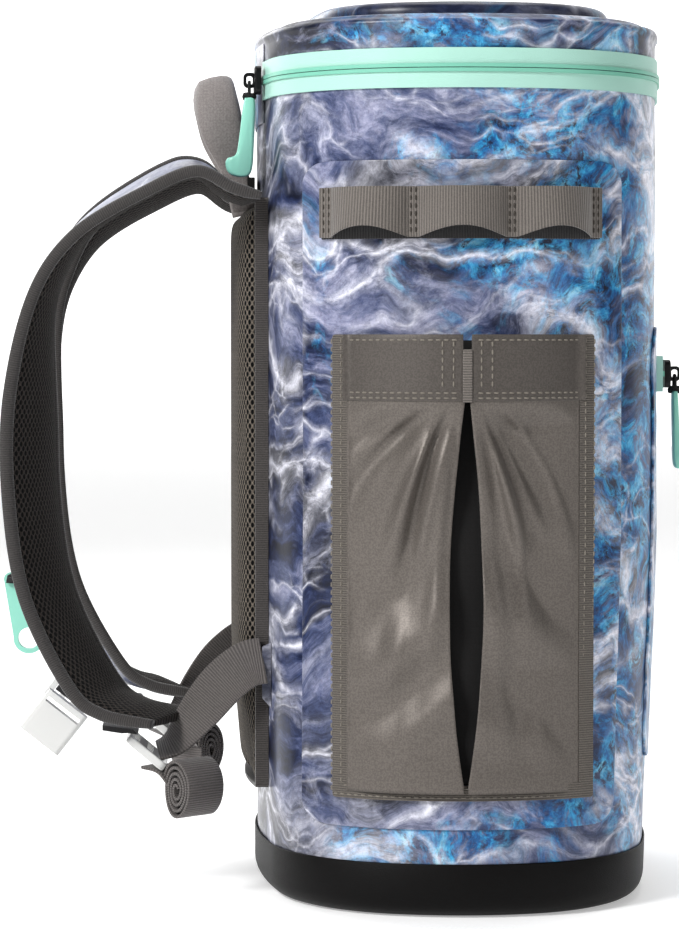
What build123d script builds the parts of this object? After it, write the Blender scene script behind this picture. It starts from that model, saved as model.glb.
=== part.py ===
from build123d import *

import os
from math import atan2, cos, degrees, hypot, pi, sin, sqrt

# Tackle backpack: a welded oval drybag on a moulded base, with a zipped lid, tool pockets, gear loops and a
# harness. Row frame in millimetres: the origin is the middle of the base's underside, +X points out of the
# front pocket, -X towards the wearer's back, +Z up. The wearer's left is -Y, and every left piece is
# mirrored about the XZ plane for the right.

os.makedirs("parts", exist_ok=True)

# ---- driving dimensions -------------------------------------------------------------------------------
HALF_WIDTH = 150.0  # half of the bag's width across the wearer's back
HALF_DEPTH = 107.5
OVAL_MIDDLE = 1.5  # the oval's middle lies this far in front of the origin
CORNER = 87.0  # radius of the oval's corners
END_BOW, SIDE_BOW = 6.0, 2.0  # how far the end and side arcs bow out past a square corner

BASE_TOP = 27.5
BASE_FLOOR = 8.0
BASE_PROUD = 1.4
BASE_ROUND = 7.5

SKIN = 2.0  # coated fabric of the shell and the lid
LINER = 2.5
GAP = 0.3  # between pieces that lie on each other
ZIP_Z = 430.0  # where the two zip tapes meet
TAPE_HEIGHT = 9.4
TAPE = 1.4
COIL = 0.9
COIL_HEIGHT = 1.9
HINGE_HALF_WIDTH = 55.0  # the zip leaves this much of the back free for the hinge
LID_TOP = 458.0
CROWN_TOP = 468.5
CROWN_INSET = 25.0

PANEL = 1.0  # welded overlay panels
PANEL_X, PANEL_HALF, PANEL_LOW, PANEL_HIGH = -2.0, 81.0, 45.0, 384.0
PANEL_FACE = GAP + PANEL

LOOP_X, LOOP_HALF = -3.5, 69.0
LOOP_LOW, LOOP_HIGH = 345.0, 370.4
WEBBING = 25.4
WEBBING_THICK = 1.6
LOOP_BULGE = 11.5
TACK_HALF = 2.5
TACKS = (-28.0, 20.0)

POCKET_X, POCKET_HALF = -2.5, 66.5
POCKET_LOW, POCKET_HIGH = 60.0, 296.0
POCKET_SKIN = 1.6
POCKET_FRONT = -165.0  # furthest point of the pocket's bowed front
BINDING = 8.0

PAD_HALF, PAD_LOW, PAD_HIGH, PAD_BACK = 64.0, 58.0, 366.0, 15.0

STRAP_NEAR, STRAP_FAR = -102.0, -44.0  # edges of the left shoulder strap across the wearer
STRAP_SHEAR = 23.0  # the inner edge lies this much nearer the bag
STRAP_THICK = 10.0
STRAP_ROOT_X, STRAP_END_X, STRAP_SPLIT_Z = -127.5, -161.0, 150.0  # the pad's upper and lower ends
SWAY_X, SWAY_Y = -109.0, -72.0  # vertical axis through the strap's two sewn ends
ROOT_RADIUS = 24.0
ANCHOR_Z = 117.0

PULL_Y = -61.0
SLIDER_GAP = 0.4
FRONT_ZIP_Z, FRONT_ZIP_HALF, FRONT_ZIP_FACE = 275.0, 56.0, 110.0
FRONT_SLIDER_Y = -48.0

FAR = 200.0  # further out than any face of the bag, for cutting blocks

names = []


def save(builder, name):
    """Labels a finished piece and writes it to its own STEP file."""
    builder.part.label = name
    export_step(builder.part, f"parts/{name}.step")
    names.append(name)


# ---- the bag's oval form, at any offset and between any two heights ------------------------------------
CORNER_X = HALF_DEPTH - CORNER - END_BOW  # centre of the front corners' arcs, from the oval's middle
CORNER_Y = HALF_WIDTH - CORNER - SIDE_BOW
SIDE_RADIUS = (CORNER_X**2 + (CORNER_Y - HALF_WIDTH) ** 2 - CORNER**2) / (2 * SIDE_BOW)
END_RADIUS = (CORNER_Y**2 + (CORNER_X - HALF_DEPTH) ** 2 - CORNER**2) / (2 * END_BOW)
SIDE_TURN = degrees(atan2(CORNER_X, CORNER_Y - HALF_WIDTH + SIDE_RADIUS))  # half of the side arc
END_TURN = degrees(atan2(CORNER_Y, CORNER_X - HALF_DEPTH + END_RADIUS))  # half of the end arc
CORNER_TURN = 90 - SIDE_TURN - END_TURN


def surface_x(y, offset, side=-1):
    """X of the oval's back (side -1) or front (side 1) at a place across the bag."""
    if abs(y) <= (END_RADIUS + offset) * sin(END_TURN * pi / 180):
        reach = HALF_DEPTH - END_RADIUS + sqrt((END_RADIUS + offset) ** 2 - y**2)
    else:
        reach = CORNER_X + sqrt((CORNER + offset) ** 2 - (abs(y) - CORNER_Y) ** 2)
    return OVAL_MIDDLE + side * reach


def surface_y(x, offset):
    """Y of the oval's left side at a place along the bag's depth."""
    along = abs(x - OVAL_MIDDLE)
    if along <= (SIDE_RADIUS + offset) * sin(SIDE_TURN * pi / 180):
        return SIDE_RADIUS - HALF_WIDTH - sqrt((SIDE_RADIUS + offset) ** 2 - along**2)
    return -CORNER_Y - sqrt((CORNER + offset) ** 2 - (along - CORNER_X) ** 2)


def oval_form(offset, low, high):
    """A solid of the oval between two heights: four long arcs, and a tight one at each corner."""
    end_x, side_y = HALF_DEPTH - END_RADIUS, HALF_WIDTH - SIDE_RADIUS
    with BuildPart() as form:
        with BuildSketch(Plane.XY.offset(low)):
            with BuildLine():
                CenterArc((OVAL_MIDDLE + end_x, 0), END_RADIUS + offset, -END_TURN, 2 * END_TURN)
                CenterArc((OVAL_MIDDLE + CORNER_X, CORNER_Y), CORNER + offset, END_TURN, CORNER_TURN)
                CenterArc((OVAL_MIDDLE, side_y), SIDE_RADIUS + offset, 90 - SIDE_TURN, 2 * SIDE_TURN)
                CenterArc((OVAL_MIDDLE - CORNER_X, CORNER_Y), CORNER + offset, 90 + SIDE_TURN, CORNER_TURN)
                CenterArc((OVAL_MIDDLE - end_x, 0), END_RADIUS + offset, 180 - END_TURN, 2 * END_TURN)
                CenterArc((OVAL_MIDDLE - CORNER_X, -CORNER_Y), CORNER + offset, 180 + END_TURN, CORNER_TURN)
                CenterArc((OVAL_MIDDLE, -side_y), SIDE_RADIUS + offset, 270 - SIDE_TURN, 2 * SIDE_TURN)
                CenterArc((OVAL_MIDDLE + CORNER_X, -CORNER_Y), CORNER + offset, 270 + SIDE_TURN, CORNER_TURN)
            make_face()
        extrude(amount=high - low)
    return form.part


def oval_ring(inner, outer, low, high):
    """A wall that follows the oval between two offsets."""
    with BuildPart() as ring:
        add(oval_form(outer, low, high))
        add(oval_form(inner, low - 1, high + 1), mode=Mode.SUBTRACT)
    return ring.part


def side_block(middle, half, low, high, corner=0.0):
    """A block over a window of the left side, with rounded corners."""
    with BuildPart() as block:
        with BuildSketch(Plane.XZ):
            with Locations((middle, (low + high) / 2)):
                if corner:
                    RectangleRounded(2 * half, high - low, corner)
                else:
                    Rectangle(2 * half, high - low)
        extrude(amount=FAR)
    return block.part


def box_between(x0, x1, y0, y1, z0, z1):
    """A box from its corners."""
    with BuildPart() as block:
        with Locations(((x0 + x1) / 2, (y0 + y1) / 2, (z0 + z1) / 2)):
            Box(x1 - x0, y1 - y0, z1 - z0)
    return block.part


def back_block(half, low=0.0, high=CROWN_TOP):
    """A block over a window of the back."""
    return box_between(-FAR, 0, -half, half, low, high)


def save_mirrored(left, name):
    """Writes the left piece, and its mirror image as the right one."""
    save(left, f"left_{name}")
    with BuildPart() as right:
        mirror(left.part, about=Plane.XZ)
    save(right, f"right_{name}")


# ---- base ----------------------------------------------------------------------------------------------
with BuildPart() as base_tub:
    add(oval_form(BASE_PROUD, 0, BASE_TOP))
    fillet(base_tub.edges().group_by(Axis.Z)[0], BASE_ROUND)
    add(oval_form(GAP / 2, BASE_FLOOR, BASE_TOP + 1), mode=Mode.SUBTRACT)
save(base_tub, "base_tub")

SHELL_LOW = BASE_FLOOR + GAP
BOARD = 3.0
with BuildPart() as base_board:
    add(oval_form(-SKIN - GAP, SHELL_LOW + SKIN + GAP, SHELL_LOW + SKIN + GAP + BOARD))
save(base_board, "base_board")

# ---- main compartment ----------------------------------------------------------------------------------
with BuildPart() as main_shell:
    add(oval_form(0, SHELL_LOW, ZIP_Z - GAP))
    add(oval_form(-SKIN, SHELL_LOW + SKIN, ZIP_Z), mode=Mode.SUBTRACT)
save(main_shell, "main_shell")

LINER_LOW = SHELL_LOW + SKIN + BOARD + 2 * GAP
with BuildPart() as inner_liner:
    add(oval_form(-SKIN - GAP, LINER_LOW, ZIP_Z - GAP))
    add(oval_form(-SKIN - GAP - LINER, LINER_LOW + LINER, ZIP_Z), mode=Mode.SUBTRACT)
save(inner_liner, "inner_liner")

# ---- lid -----------------------------------------------------------------------------------------------
LID_ROUND = 5.0
with BuildPart() as lid_shell:
    add(oval_form(0, ZIP_Z + GAP, LID_TOP))
    fillet(lid_shell.edges().group_by(Axis.Z)[-1], LID_ROUND)
    add(oval_form(-SKIN, ZIP_Z, LID_TOP - SKIN), mode=Mode.SUBTRACT)
save(lid_shell, "lid_shell")

with BuildPart() as lid_crown:
    add(oval_form(-CROWN_INSET, LID_TOP + GAP / 2, CROWN_TOP))
    fillet(lid_crown.edges().group_by(Axis.Z)[-1], LID_ROUND)
save(lid_crown, "lid_crown")

LID_LINER_INSET = SKIN + GAP + 1.5
with BuildPart() as lid_liner:
    add(oval_form(-LID_LINER_INSET, ZIP_Z + GAP, LID_TOP - SKIN - GAP))
    fillet(lid_liner.edges().group_by(Axis.Z)[-1], LID_ROUND)
    add(oval_form(-LID_LINER_INSET - LINER, ZIP_Z, LID_TOP - SKIN - GAP - LINER), mode=Mode.SUBTRACT)
save(lid_liner, "lid_liner")

# ---- top zip: a tape and a coil on each side of the opening, all round but for the hinge ----------------
TOP_ZIP_ROWS = {
    "top_zip_lower": (ZIP_Z - 0.6 - TAPE_HEIGHT, ZIP_Z - 0.6, ZIP_Z - 0.2 - COIL_HEIGHT, ZIP_Z - 0.2),
    "top_zip_upper": (ZIP_Z + 0.6, ZIP_Z + 0.6 + TAPE_HEIGHT, ZIP_Z + 0.2, ZIP_Z + 0.2 + COIL_HEIGHT),
}
for row, (tape_low, tape_high, coil_low, coil_high) in TOP_ZIP_ROWS.items():
    with BuildPart() as tape:
        add(oval_ring(GAP / 2, TAPE, tape_low, tape_high))
        add(back_block(HINGE_HALF_WIDTH), mode=Mode.SUBTRACT)
    save(tape, f"{row}_tape")
    with BuildPart() as coil:
        add(oval_ring(TAPE + GAP / 2, TAPE + GAP / 2 + COIL, coil_low, coil_high))
        add(back_block(HINGE_HALF_WIDTH), mode=Mode.SUBTRACT)
    save(coil, f"{row}_coil")

HINGE_STRIP_LOW = 408.0
with BuildPart() as lid_hinge_strip:
    add(oval_ring(GAP / 2, TAPE, HINGE_STRIP_LOW, ZIP_Z - GAP))
    add(back_block(HINGE_HALF_WIDTH - 1), mode=Mode.INTERSECT)
save(lid_hinge_strip, "lid_hinge_strip")


# ---- sliders, cords and moulded pulls ------------------------------------------------------------------
SLIDER_WIDE, SLIDER_TALL, SLIDER_THICK = 10.0, 15.0, 3.4
BAIL_OUT, BAIL_TALL, BAIL_THICK = 5.6, 8.0, 1.8
CORD = 1.8
CORD_HALF = 3.0  # half of the distance between the cord's two legs
CORD_DROP = 8.6
PULL_LONG = 41.0


def slider(face_x, y, z, out, turn=0.0):
    """A slider body with a bail, standing out along X from a face. out is -1 at the back, 1 at the front."""
    with BuildPart() as body:
        with BuildSketch(Plane.YZ):
            RectangleRounded(SLIDER_WIDE, SLIDER_TALL, 3.0)
        extrude(amount=SLIDER_THICK)
        fillet(body.faces().sort_by(Axis.X)[-1].edges(), 1.0)
        with BuildSketch(Plane.XZ.offset(-BAIL_THICK / 2)):
            with Locations((SLIDER_THICK - 0.5 + BAIL_OUT / 2, 0)):
                RectangleRounded(BAIL_OUT + 1, BAIL_TALL, 2.4)
            with Locations((SLIDER_THICK - 0.5 + BAIL_OUT / 2 + 0.1, 0)):
                RectangleRounded(BAIL_OUT - 2.2, BAIL_TALL - 3.6, 1.2, mode=Mode.SUBTRACT)
        extrude(amount=BAIL_THICK)
    facing = 0 if out > 0 else 180
    return Location((face_x, y, z), (0, 0, facing + turn)) * body.part


def pull_cord(axis_x, y, z):
    """A loop of cord through the bail: a bar along Y and two legs down to a knot."""
    with BuildPart() as loop:
        with BuildLine():
            FilletPolyline(
                (axis_x, y - CORD_HALF, z - CORD_DROP),
                (axis_x, y - CORD_HALF, z),
                (axis_x, y + CORD_HALF, z),
                (axis_x, y + CORD_HALF, z - CORD_DROP),
                radius=2.0,
            )
        with BuildSketch(Plane((axis_x, y - CORD_HALF, z - CORD_DROP), z_dir=(0, 0, 1))):
            Circle(CORD / 2)
        sweep()
    return loop.part


def moulded_pull(axis_x, y, z, out):
    """A soft moulded pull that hangs below the cord and flares into a foot at its end."""
    top = z - CORD_DROP - 0.1
    # distance down from the top, half depth, half width, shift of the foot away from the bag
    sections = [
        (0, 3.3, 4.6, 0),
        (8, 3.5, 4.9, 0),
        (27, 3.2, 4.6, 0.4),
        (33, 4.2, 6.0, 1.2),
        (PULL_LONG, 3.9, 6.6, 1.6),
    ]
    with BuildPart() as body:
        for down, half_x, half_y, shift in sections:
            with BuildSketch(Plane.XY.offset(top - down)):
                with Locations((axis_x + out * shift, y)):
                    RectangleRounded(2 * half_x, 2 * half_y, 2.4)
        loft()
        fillet(body.faces().sort_by(Axis.Z)[0].edges(), 1.2)
    return body.part


coil_face = surface_x(PULL_Y, TAPE + GAP / 2 + COIL)
slider_face = coil_face - SLIDER_GAP - 0.5
turn_at_pull = degrees(atan2(surface_x(PULL_Y - 5, 2) - surface_x(PULL_Y + 5, 2), 10))
TOP_AXIS_X = slider_face - SLIDER_THICK - BAIL_OUT / 2 + 0.3
with BuildPart() as top_zip_slider:
    add(slider(slider_face, PULL_Y, ZIP_Z, -1, turn_at_pull / 2))
save(top_zip_slider, "top_zip_slider")
with BuildPart() as top_pull_cord:
    add(pull_cord(TOP_AXIS_X, PULL_Y, ZIP_Z - 0.9))
save(top_pull_cord, "top_pull_cord")
with BuildPart() as top_pull:
    add(moulded_pull(TOP_AXIS_X, PULL_Y, ZIP_Z - 0.9, -1))
save(top_pull, "top_pull")

# ---- front pocket: a welded panel with its own straight zip --------------------------------------------
FRONT_HALF, FRONT_LOW, FRONT_HIGH = 86.0, 72.0, 300.0
FRONT_TAPE_HALF, FRONT_COIL_HALF = 9.5, 1.4
with BuildPart() as front_window:
    with BuildSketch(Plane.YZ):
        with Locations((0, (FRONT_LOW + FRONT_HIGH) / 2)):
            RectangleRounded(2 * FRONT_HALF, FRONT_HIGH - FRONT_LOW, 18)
    extrude(amount=FAR)
    with BuildSketch(Plane.YZ):
        with Locations((0, FRONT_ZIP_Z)):
            Rectangle(2 * (FRONT_ZIP_HALF + GAP), 2 * (FRONT_TAPE_HALF + GAP))
    extrude(amount=FAR, mode=Mode.SUBTRACT)
with BuildPart() as front_pocket:
    add(oval_ring(GAP / 2, PANEL_FACE + 0.4, FRONT_LOW, FRONT_HIGH))
    add(front_window.part, mode=Mode.INTERSECT)
save(front_pocket, "front_pocket")

with BuildPart() as front_zip_tape:
    add(
        box_between(
            90, FRONT_ZIP_FACE, -FRONT_ZIP_HALF, FRONT_ZIP_HALF,
            FRONT_ZIP_Z - FRONT_TAPE_HALF, FRONT_ZIP_Z + FRONT_TAPE_HALF,
        )
    )
    add(oval_form(GAP / 2, FRONT_ZIP_Z - 40, FRONT_ZIP_Z + 40), mode=Mode.SUBTRACT)
save(front_zip_tape, "front_zip_tape")
with BuildPart() as front_zip_coil:
    add(
        box_between(
            FRONT_ZIP_FACE + 0.1, FRONT_ZIP_FACE + 0.1 + COIL, -FRONT_ZIP_HALF + 1, FRONT_ZIP_HALF - 1,
            FRONT_ZIP_Z - FRONT_COIL_HALF, FRONT_ZIP_Z + FRONT_COIL_HALF,
        )
    )
save(front_zip_coil, "front_zip_coil")

front_slider_face = FRONT_ZIP_FACE + 0.1 + COIL + SLIDER_GAP
FRONT_AXIS_X = front_slider_face + SLIDER_THICK + BAIL_OUT / 2 - 0.3
with BuildPart() as front_zip_slider:
    add(slider(front_slider_face, FRONT_SLIDER_Y, FRONT_ZIP_Z, 1))
save(front_zip_slider, "front_zip_slider")
with BuildPart() as front_pull_cord:
    add(pull_cord(FRONT_AXIS_X, FRONT_SLIDER_Y, FRONT_ZIP_Z - 0.9))
save(front_pull_cord, "front_pull_cord")
with BuildPart() as front_pull:
    add(moulded_pull(FRONT_AXIS_X, FRONT_SLIDER_Y, FRONT_ZIP_Z - 0.9, 1))
save(front_pull, "front_pull")

# ---- side panels ---------------------------------------------------------------------------------------
with BuildPart() as side_panel:
    add(oval_ring(GAP, PANEL_FACE, PANEL_LOW, PANEL_HIGH))
    add(side_block(PANEL_X, PANEL_HALF, PANEL_LOW, PANEL_HIGH, corner=12), mode=Mode.INTERSECT)
save_mirrored(side_panel, "side_panel")

# ---- gear loops: a flat strip and a band tacked over it in three bows ----------------------------------
STRIP_FACE = PANEL_FACE + GAP + 1.2
with BuildPart() as gear_loop_base:
    add(oval_ring(PANEL_FACE + GAP, STRIP_FACE, LOOP_LOW, LOOP_HIGH))
    add(side_block(LOOP_X, LOOP_HALF, LOOP_LOW, LOOP_HIGH), mode=Mode.INTERSECT)
save_mirrored(gear_loop_base, "gear_loop_base")


BOW_SHAPE = ((0.2, 0.72), (0.5, 1.0), (0.8, 0.72))  # share of a bow's width, and of its bulge


def band_outline(lift):
    """Points of the bowed band at an offset: down on the strip at each tack, and out between them."""
    ends = [LOOP_X - LOOP_HALF + TACK_HALF, *TACKS, LOOP_X + LOOP_HALF - TACK_HALF]
    points = [(ends[0] - TACK_HALF, 0.0)]
    for a, b in zip(ends, ends[1:]):
        width = b - a - 2 * TACK_HALF
        points += [(a + TACK_HALF, 0.0)]
        points += [(a + TACK_HALF + width * t, LOOP_BULGE * h) for t, h in BOW_SHAPE]
        points += [(b - TACK_HALF, 0.0)]
    points += [(ends[-1] + TACK_HALF, 0.0)]
    middle_z = (LOOP_LOW + LOOP_HIGH) / 2
    return [(x, surface_y(x, STRIP_FACE + GAP + out + lift)) for x, out in points]


with BuildPart() as gear_loops:
    with BuildSketch(Plane.XY.offset(LOOP_LOW)):
        with BuildLine():
            inner = band_outline(0.0)
            outer = band_outline(WEBBING_THICK)
            Polyline(*inner, *reversed(outer), close=True)
        make_face()
    extrude(amount=WEBBING)
save_mirrored(gear_loops, "gear_loops")

# ---- tool pockets --------------------------------------------------------------------------------------
EDGE_Y = surface_y(POCKET_X + POCKET_HALF - BINDING, PANEL_FACE + GAP + POCKET_SKIN)
BOW_HALF = POCKET_HALF - BINDING
BOW = EDGE_Y - POCKET_FRONT
BOW_RADIUS = (BOW_HALF**2 + BOW**2) / (2 * BOW)
SLIT_LOW, SLIT_HIGH, SLIT_HALF = 68.0, 262.0, 8.0
with BuildPart() as tool_pocket:
    with BuildSketch(Plane.XY.offset(POCKET_LOW + BINDING)):
        with Locations((POCKET_X, POCKET_FRONT + BOW_RADIUS)):
            Circle(BOW_RADIUS)
            Circle(BOW_RADIUS - POCKET_SKIN, mode=Mode.SUBTRACT)
        with Locations((POCKET_X, POCKET_FRONT)):
            Rectangle(2 * BOW_HALF, 2 * BOW, mode=Mode.INTERSECT)
    extrude(amount=POCKET_HIGH - POCKET_LOW - BINDING)
    with BuildSketch(Plane.XY.offset(POCKET_LOW + BINDING)):
        with Locations((POCKET_X, POCKET_FRONT + BOW_RADIUS)):
            Circle(BOW_RADIUS)
        with Locations((POCKET_X, POCKET_FRONT)):
            Rectangle(2 * BOW_HALF, 2 * BOW, mode=Mode.INTERSECT)
    extrude(amount=POCKET_SKIN)
    with BuildSketch(Plane.XZ):
        with Locations((POCKET_X, (SLIT_LOW + SLIT_HIGH) / 2 - 10)):
            Ellipse(SLIT_HALF, (SLIT_HIGH - SLIT_LOW) / 2)
    extrude(amount=FAR, mode=Mode.SUBTRACT)
    add(oval_form(PANEL_FACE + GAP, POCKET_LOW, POCKET_HIGH + 10), mode=Mode.SUBTRACT)
save_mirrored(tool_pocket, "tool_pocket")

with BuildPart() as pocket_binding:
    add(oval_ring(PANEL_FACE + GAP, PANEL_FACE + GAP + 2.0, POCKET_LOW, POCKET_HIGH))
    add(side_block(POCKET_X, POCKET_HALF, POCKET_LOW, POCKET_HIGH, corner=1.5), mode=Mode.INTERSECT)
    add(
        side_block(POCKET_X, POCKET_HALF - BINDING + GAP, POCKET_LOW + BINDING - GAP, POCKET_HIGH + 5),
        mode=Mode.SUBTRACT,
    )
save_mirrored(pocket_binding, "pocket_binding")

# ---- back: a plate, the mesh pad and the tape bound round it -------------------------------------------
with BuildPart() as back_plate:
    add(oval_ring(GAP / 2, 1.6, PAD_LOW + 4, PAD_HIGH - 4))
    add(back_block(PAD_HALF - 3), mode=Mode.INTERSECT)
save(back_plate, "back_plate")

pad_outer_x = OVAL_MIDDLE - HALF_DEPTH - PAD_BACK
with BuildPart() as back_pad:
    add(oval_ring(1.6 + GAP, PAD_BACK, PAD_LOW, PAD_HIGH))
    with BuildSketch(Plane.XZ):
        with BuildLine():
            Polyline(
                (-90, PAD_LOW),
                (pad_outer_x + 14, PAD_LOW),
                (pad_outer_x + 3, PAD_LOW + 48),
                (pad_outer_x - 1, PAD_LOW + 80),
                (pad_outer_x - 1, PAD_HIGH - 30),
                (pad_outer_x + 6, PAD_HIGH - 4),
                (pad_outer_x + 9, PAD_HIGH),
                (-90, PAD_HIGH),
                close=True,
            )
        make_face()
    extrude(amount=PAD_HALF, both=True, mode=Mode.INTERSECT)
save(back_pad, "back_pad")

PAD_TAPE = 2.2
with BuildPart() as back_pad_binding:
    add(oval_ring(GAP, 7.0, PAD_LOW - PAD_TAPE, PAD_HIGH + PAD_TAPE))
    add(back_block(PAD_HALF + PAD_TAPE), mode=Mode.INTERSECT)
    add(back_block(PAD_HALF + GAP, PAD_LOW - GAP, PAD_HIGH + GAP), mode=Mode.SUBTRACT)
save(back_pad_binding, "back_pad_binding")

# ---- grab handle ---------------------------------------------------------------------------------------
HANDLE_BASE_X, HANDLE_BASE_Z = -109.5, 377.0
HANDLE_LEAN = 9.0  # degrees from upright
HANDLE_HALF = 33.0  # half of the distance between its legs
HANDLE_FOOT, HANDLE_TOP = 3.0, 57.0  # the webbing's ends and its level part, along the lean
HANDLE_BEND = 20.0
HANDLE_NEAR, HANDLE_WIDE = 4.0, 18.0  # the webbing starts this far from the bag, and is this wide
HANDLE_THICK = 3.0
GRIP_HALF, GRIP_THICK, GRIP_LAP = 15.0, 9.0, 1.5
handle_plane = Plane(
    origin=(HANDLE_BASE_X, 0, HANDLE_BASE_Z),
    x_dir=(0, 1, 0),
    z_dir=(cos(HANDLE_LEAN * pi / 180), 0, sin(HANDLE_LEAN * pi / 180)),
)
handle_pivot = handle_plane.from_local_coords((0, 0, -HANDLE_NEAR - HANDLE_WIDE / 2))  # the legs' roots

with BuildPart() as handle_webbing:
    with BuildSketch(handle_plane.offset(-HANDLE_NEAR)):
        with BuildLine():
            FilletPolyline(
                (-HANDLE_HALF, HANDLE_FOOT),
                (-HANDLE_HALF, HANDLE_TOP),
                (HANDLE_HALF, HANDLE_TOP),
                (HANDLE_HALF, HANDLE_FOOT),
                radius=HANDLE_BEND,
            )
        trace(line_width=HANDLE_THICK)
    extrude(amount=-HANDLE_WIDE)
save(handle_webbing, "handle_webbing")

ANCHOR_BACK, ANCHOR_HALF, ANCHOR_LOW, ANCHOR_HIGH = -111.5, 40.0, 369.5, 380.0
with BuildPart() as handle_anchor:
    add(box_between(ANCHOR_BACK, -HALF_DEPTH, -ANCHOR_HALF, ANCHOR_HALF, ANCHOR_LOW, ANCHOR_HIGH))
    add(oval_form(GAP, ANCHOR_LOW - 1, ANCHOR_HIGH + 1), mode=Mode.SUBTRACT)
    with Locations(Location(handle_pivot, (90, 0, 0))):
        Cylinder(HANDLE_WIDE / 2 + 1.5, 3 * ANCHOR_HALF, mode=Mode.SUBTRACT)
save(handle_anchor, "handle_anchor")

with BuildPart() as handle_grip:
    with BuildSketch(handle_plane.offset(-HANDLE_NEAR + GRIP_LAP)):
        with Locations((0, HANDLE_TOP)):
            RectangleRounded(2 * GRIP_HALF, GRIP_THICK, 3)
            Rectangle(2 * GRIP_HALF + 1, HANDLE_THICK + 2 * GAP, mode=Mode.SUBTRACT)
    extrude(amount=-HANDLE_WIDE - 2 * GRIP_LAP)
save(handle_grip, "handle_grip")

# ---- shoulder straps -----------------------------------------------------------------------------------
# outer line of the left strap's outer edge, seen from the side: over the shoulder and down to its end
STRAP_LINE = [
    (-118.0, 374.0), (-138.0, 382.5), (-165.0, 372.0), (-203.0, 349.0), (-226.0, 316.0), (-239.0, 262.0),
    (-239.5, 210.0), (-231.0, 158.0), (-208.0, 111.0), (-190.0, 95.5), (-160.0, 90.5),
]


def inward(points, distance):
    """The points again, moved across their direction of travel, towards the bag."""
    moved = []
    for k, (x, z) in enumerate(points):
        (x0, z0), (x1, z1) = points[max(k - 1, 0)], points[min(k + 1, len(points) - 1)]
        long = hypot(x1 - x0, z1 - z0)
        moved.append((x - (z1 - z0) / long * distance, z + (x1 - x0) / long * distance))
    return moved


def strap_slab(outside, inside, near, far):
    """A slab between two depths of the strap and two places across it, slanted as the strap lies."""
    shear = STRAP_SHEAR / (STRAP_FAR - STRAP_NEAR)
    shift = (near - STRAP_NEAR) * shear
    with BuildPart() as slab:
        with BuildSketch(Plane.XZ.offset(-near)):
            with BuildLine():
                outer = [(x + shift, z) for x, z in inward(STRAP_LINE, outside)]
                inner = [(x + shift, z) for x, z in inward(STRAP_LINE, inside)]
                Spline(*outer)
                Line(outer[-1], inner[-1])
                Spline(*reversed(inner))
                Line(inner[0], outer[0])
            make_face()
        extrude(amount=far - near, dir=(shear, 1, 0))
        upper = box_between(-2 * FAR, STRAP_ROOT_X, -FAR, 0, STRAP_SPLIT_Z, CROWN_TOP)
        lower = box_between(-2 * FAR, STRAP_END_X, -FAR, 0, 0, STRAP_SPLIT_Z)
        add(upper + lower, mode=Mode.INTERSECT)
        with Locations((SWAY_X, SWAY_Y, 370)):
            Cylinder(ROOT_RADIUS + 1.5, 60, mode=Mode.SUBTRACT)
    return slab.part


STRAP_TAPE = 3.0
with BuildPart() as strap_pad:
    add(strap_slab(0, STRAP_THICK, STRAP_NEAR + STRAP_TAPE + GAP, STRAP_FAR - STRAP_TAPE - GAP))
save_mirrored(strap_pad, "strap_pad")

with BuildPart() as strap_binding:
    add(strap_slab(1.5, STRAP_THICK - 1.5, STRAP_NEAR, STRAP_NEAR + STRAP_TAPE))
    add(strap_slab(1.5, STRAP_THICK - 1.5, STRAP_FAR - STRAP_TAPE, STRAP_FAR))
save_mirrored(strap_binding, "strap_binding")

ROOT_LOW = PAD_HIGH + PAD_TAPE + 0.6
with BuildPart() as strap_root:
    add(box_between(-126, -90, SWAY_Y - 18, SWAY_Y + 18, ROOT_LOW, ROOT_LOW + 8))
    with Locations((SWAY_X, SWAY_Y, ROOT_LOW + 4)):
        Cylinder(ROOT_RADIUS, 20, mode=Mode.INTERSECT)
    add(oval_form(GAP, 340, 400), mode=Mode.SUBTRACT)
save_mirrored(strap_root, "strap_root")

# ---- lower anchors, adjusters and webbing --------------------------------------------------------------
LOCK_MIDDLE = Vector(-165.0, SWAY_Y - 2, 77.0)
LOCK_TILT = 40.0  # degrees below level, towards the bag
LOCK_LONG, LOCK_WIDE, LOCK_THICK = 25.0, 33.0, 4.4
lock_plane = Plane(
    origin=LOCK_MIDDLE,
    x_dir=(cos(LOCK_TILT * pi / 180), 0, -sin(LOCK_TILT * pi / 180)),
    z_dir=(sin(LOCK_TILT * pi / 180), 0, cos(LOCK_TILT * pi / 180)),
)

with BuildPart() as ladderlock:
    with BuildSketch(lock_plane.offset(-LOCK_THICK / 2)):
        RectangleRounded(LOCK_LONG, LOCK_WIDE, 4)
        for place, slot in ((-8.0, 3.4), (0.6, 4.0), (8.2, 3.6)):
            with Locations((place, 0)):
                RectangleRounded(slot, WEBBING + 1.6, 1.2, mode=Mode.SUBTRACT)
    extrude(amount=LOCK_THICK)
    fillet(ladderlock.edges().filter_by(GeomType.LINE).group_by(Axis.Y)[-1], 0.8)
save_mirrored(ladderlock, "ladderlock")

lock_end = lock_plane.from_local_coords((-8.0, 0, 0))
with BuildPart() as strap_loop:
    with BuildSketch(Plane.XZ.offset(-(SWAY_Y + WEBBING / 2 - 2))):
        with BuildLine():
            Polyline(
                (-188, 91.5),
                (-172, 89.4),
                (lock_end.X + 1.6, lock_end.Z + 4.4),
                (lock_end.X - 3.4, lock_end.Z + 5.2),
                (-178, 87.2),
                (-188, 88.8),
                close=True,
            )
        make_face()
    extrude(amount=WEBBING)
save_mirrored(strap_loop, "strap_loop")

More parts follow.
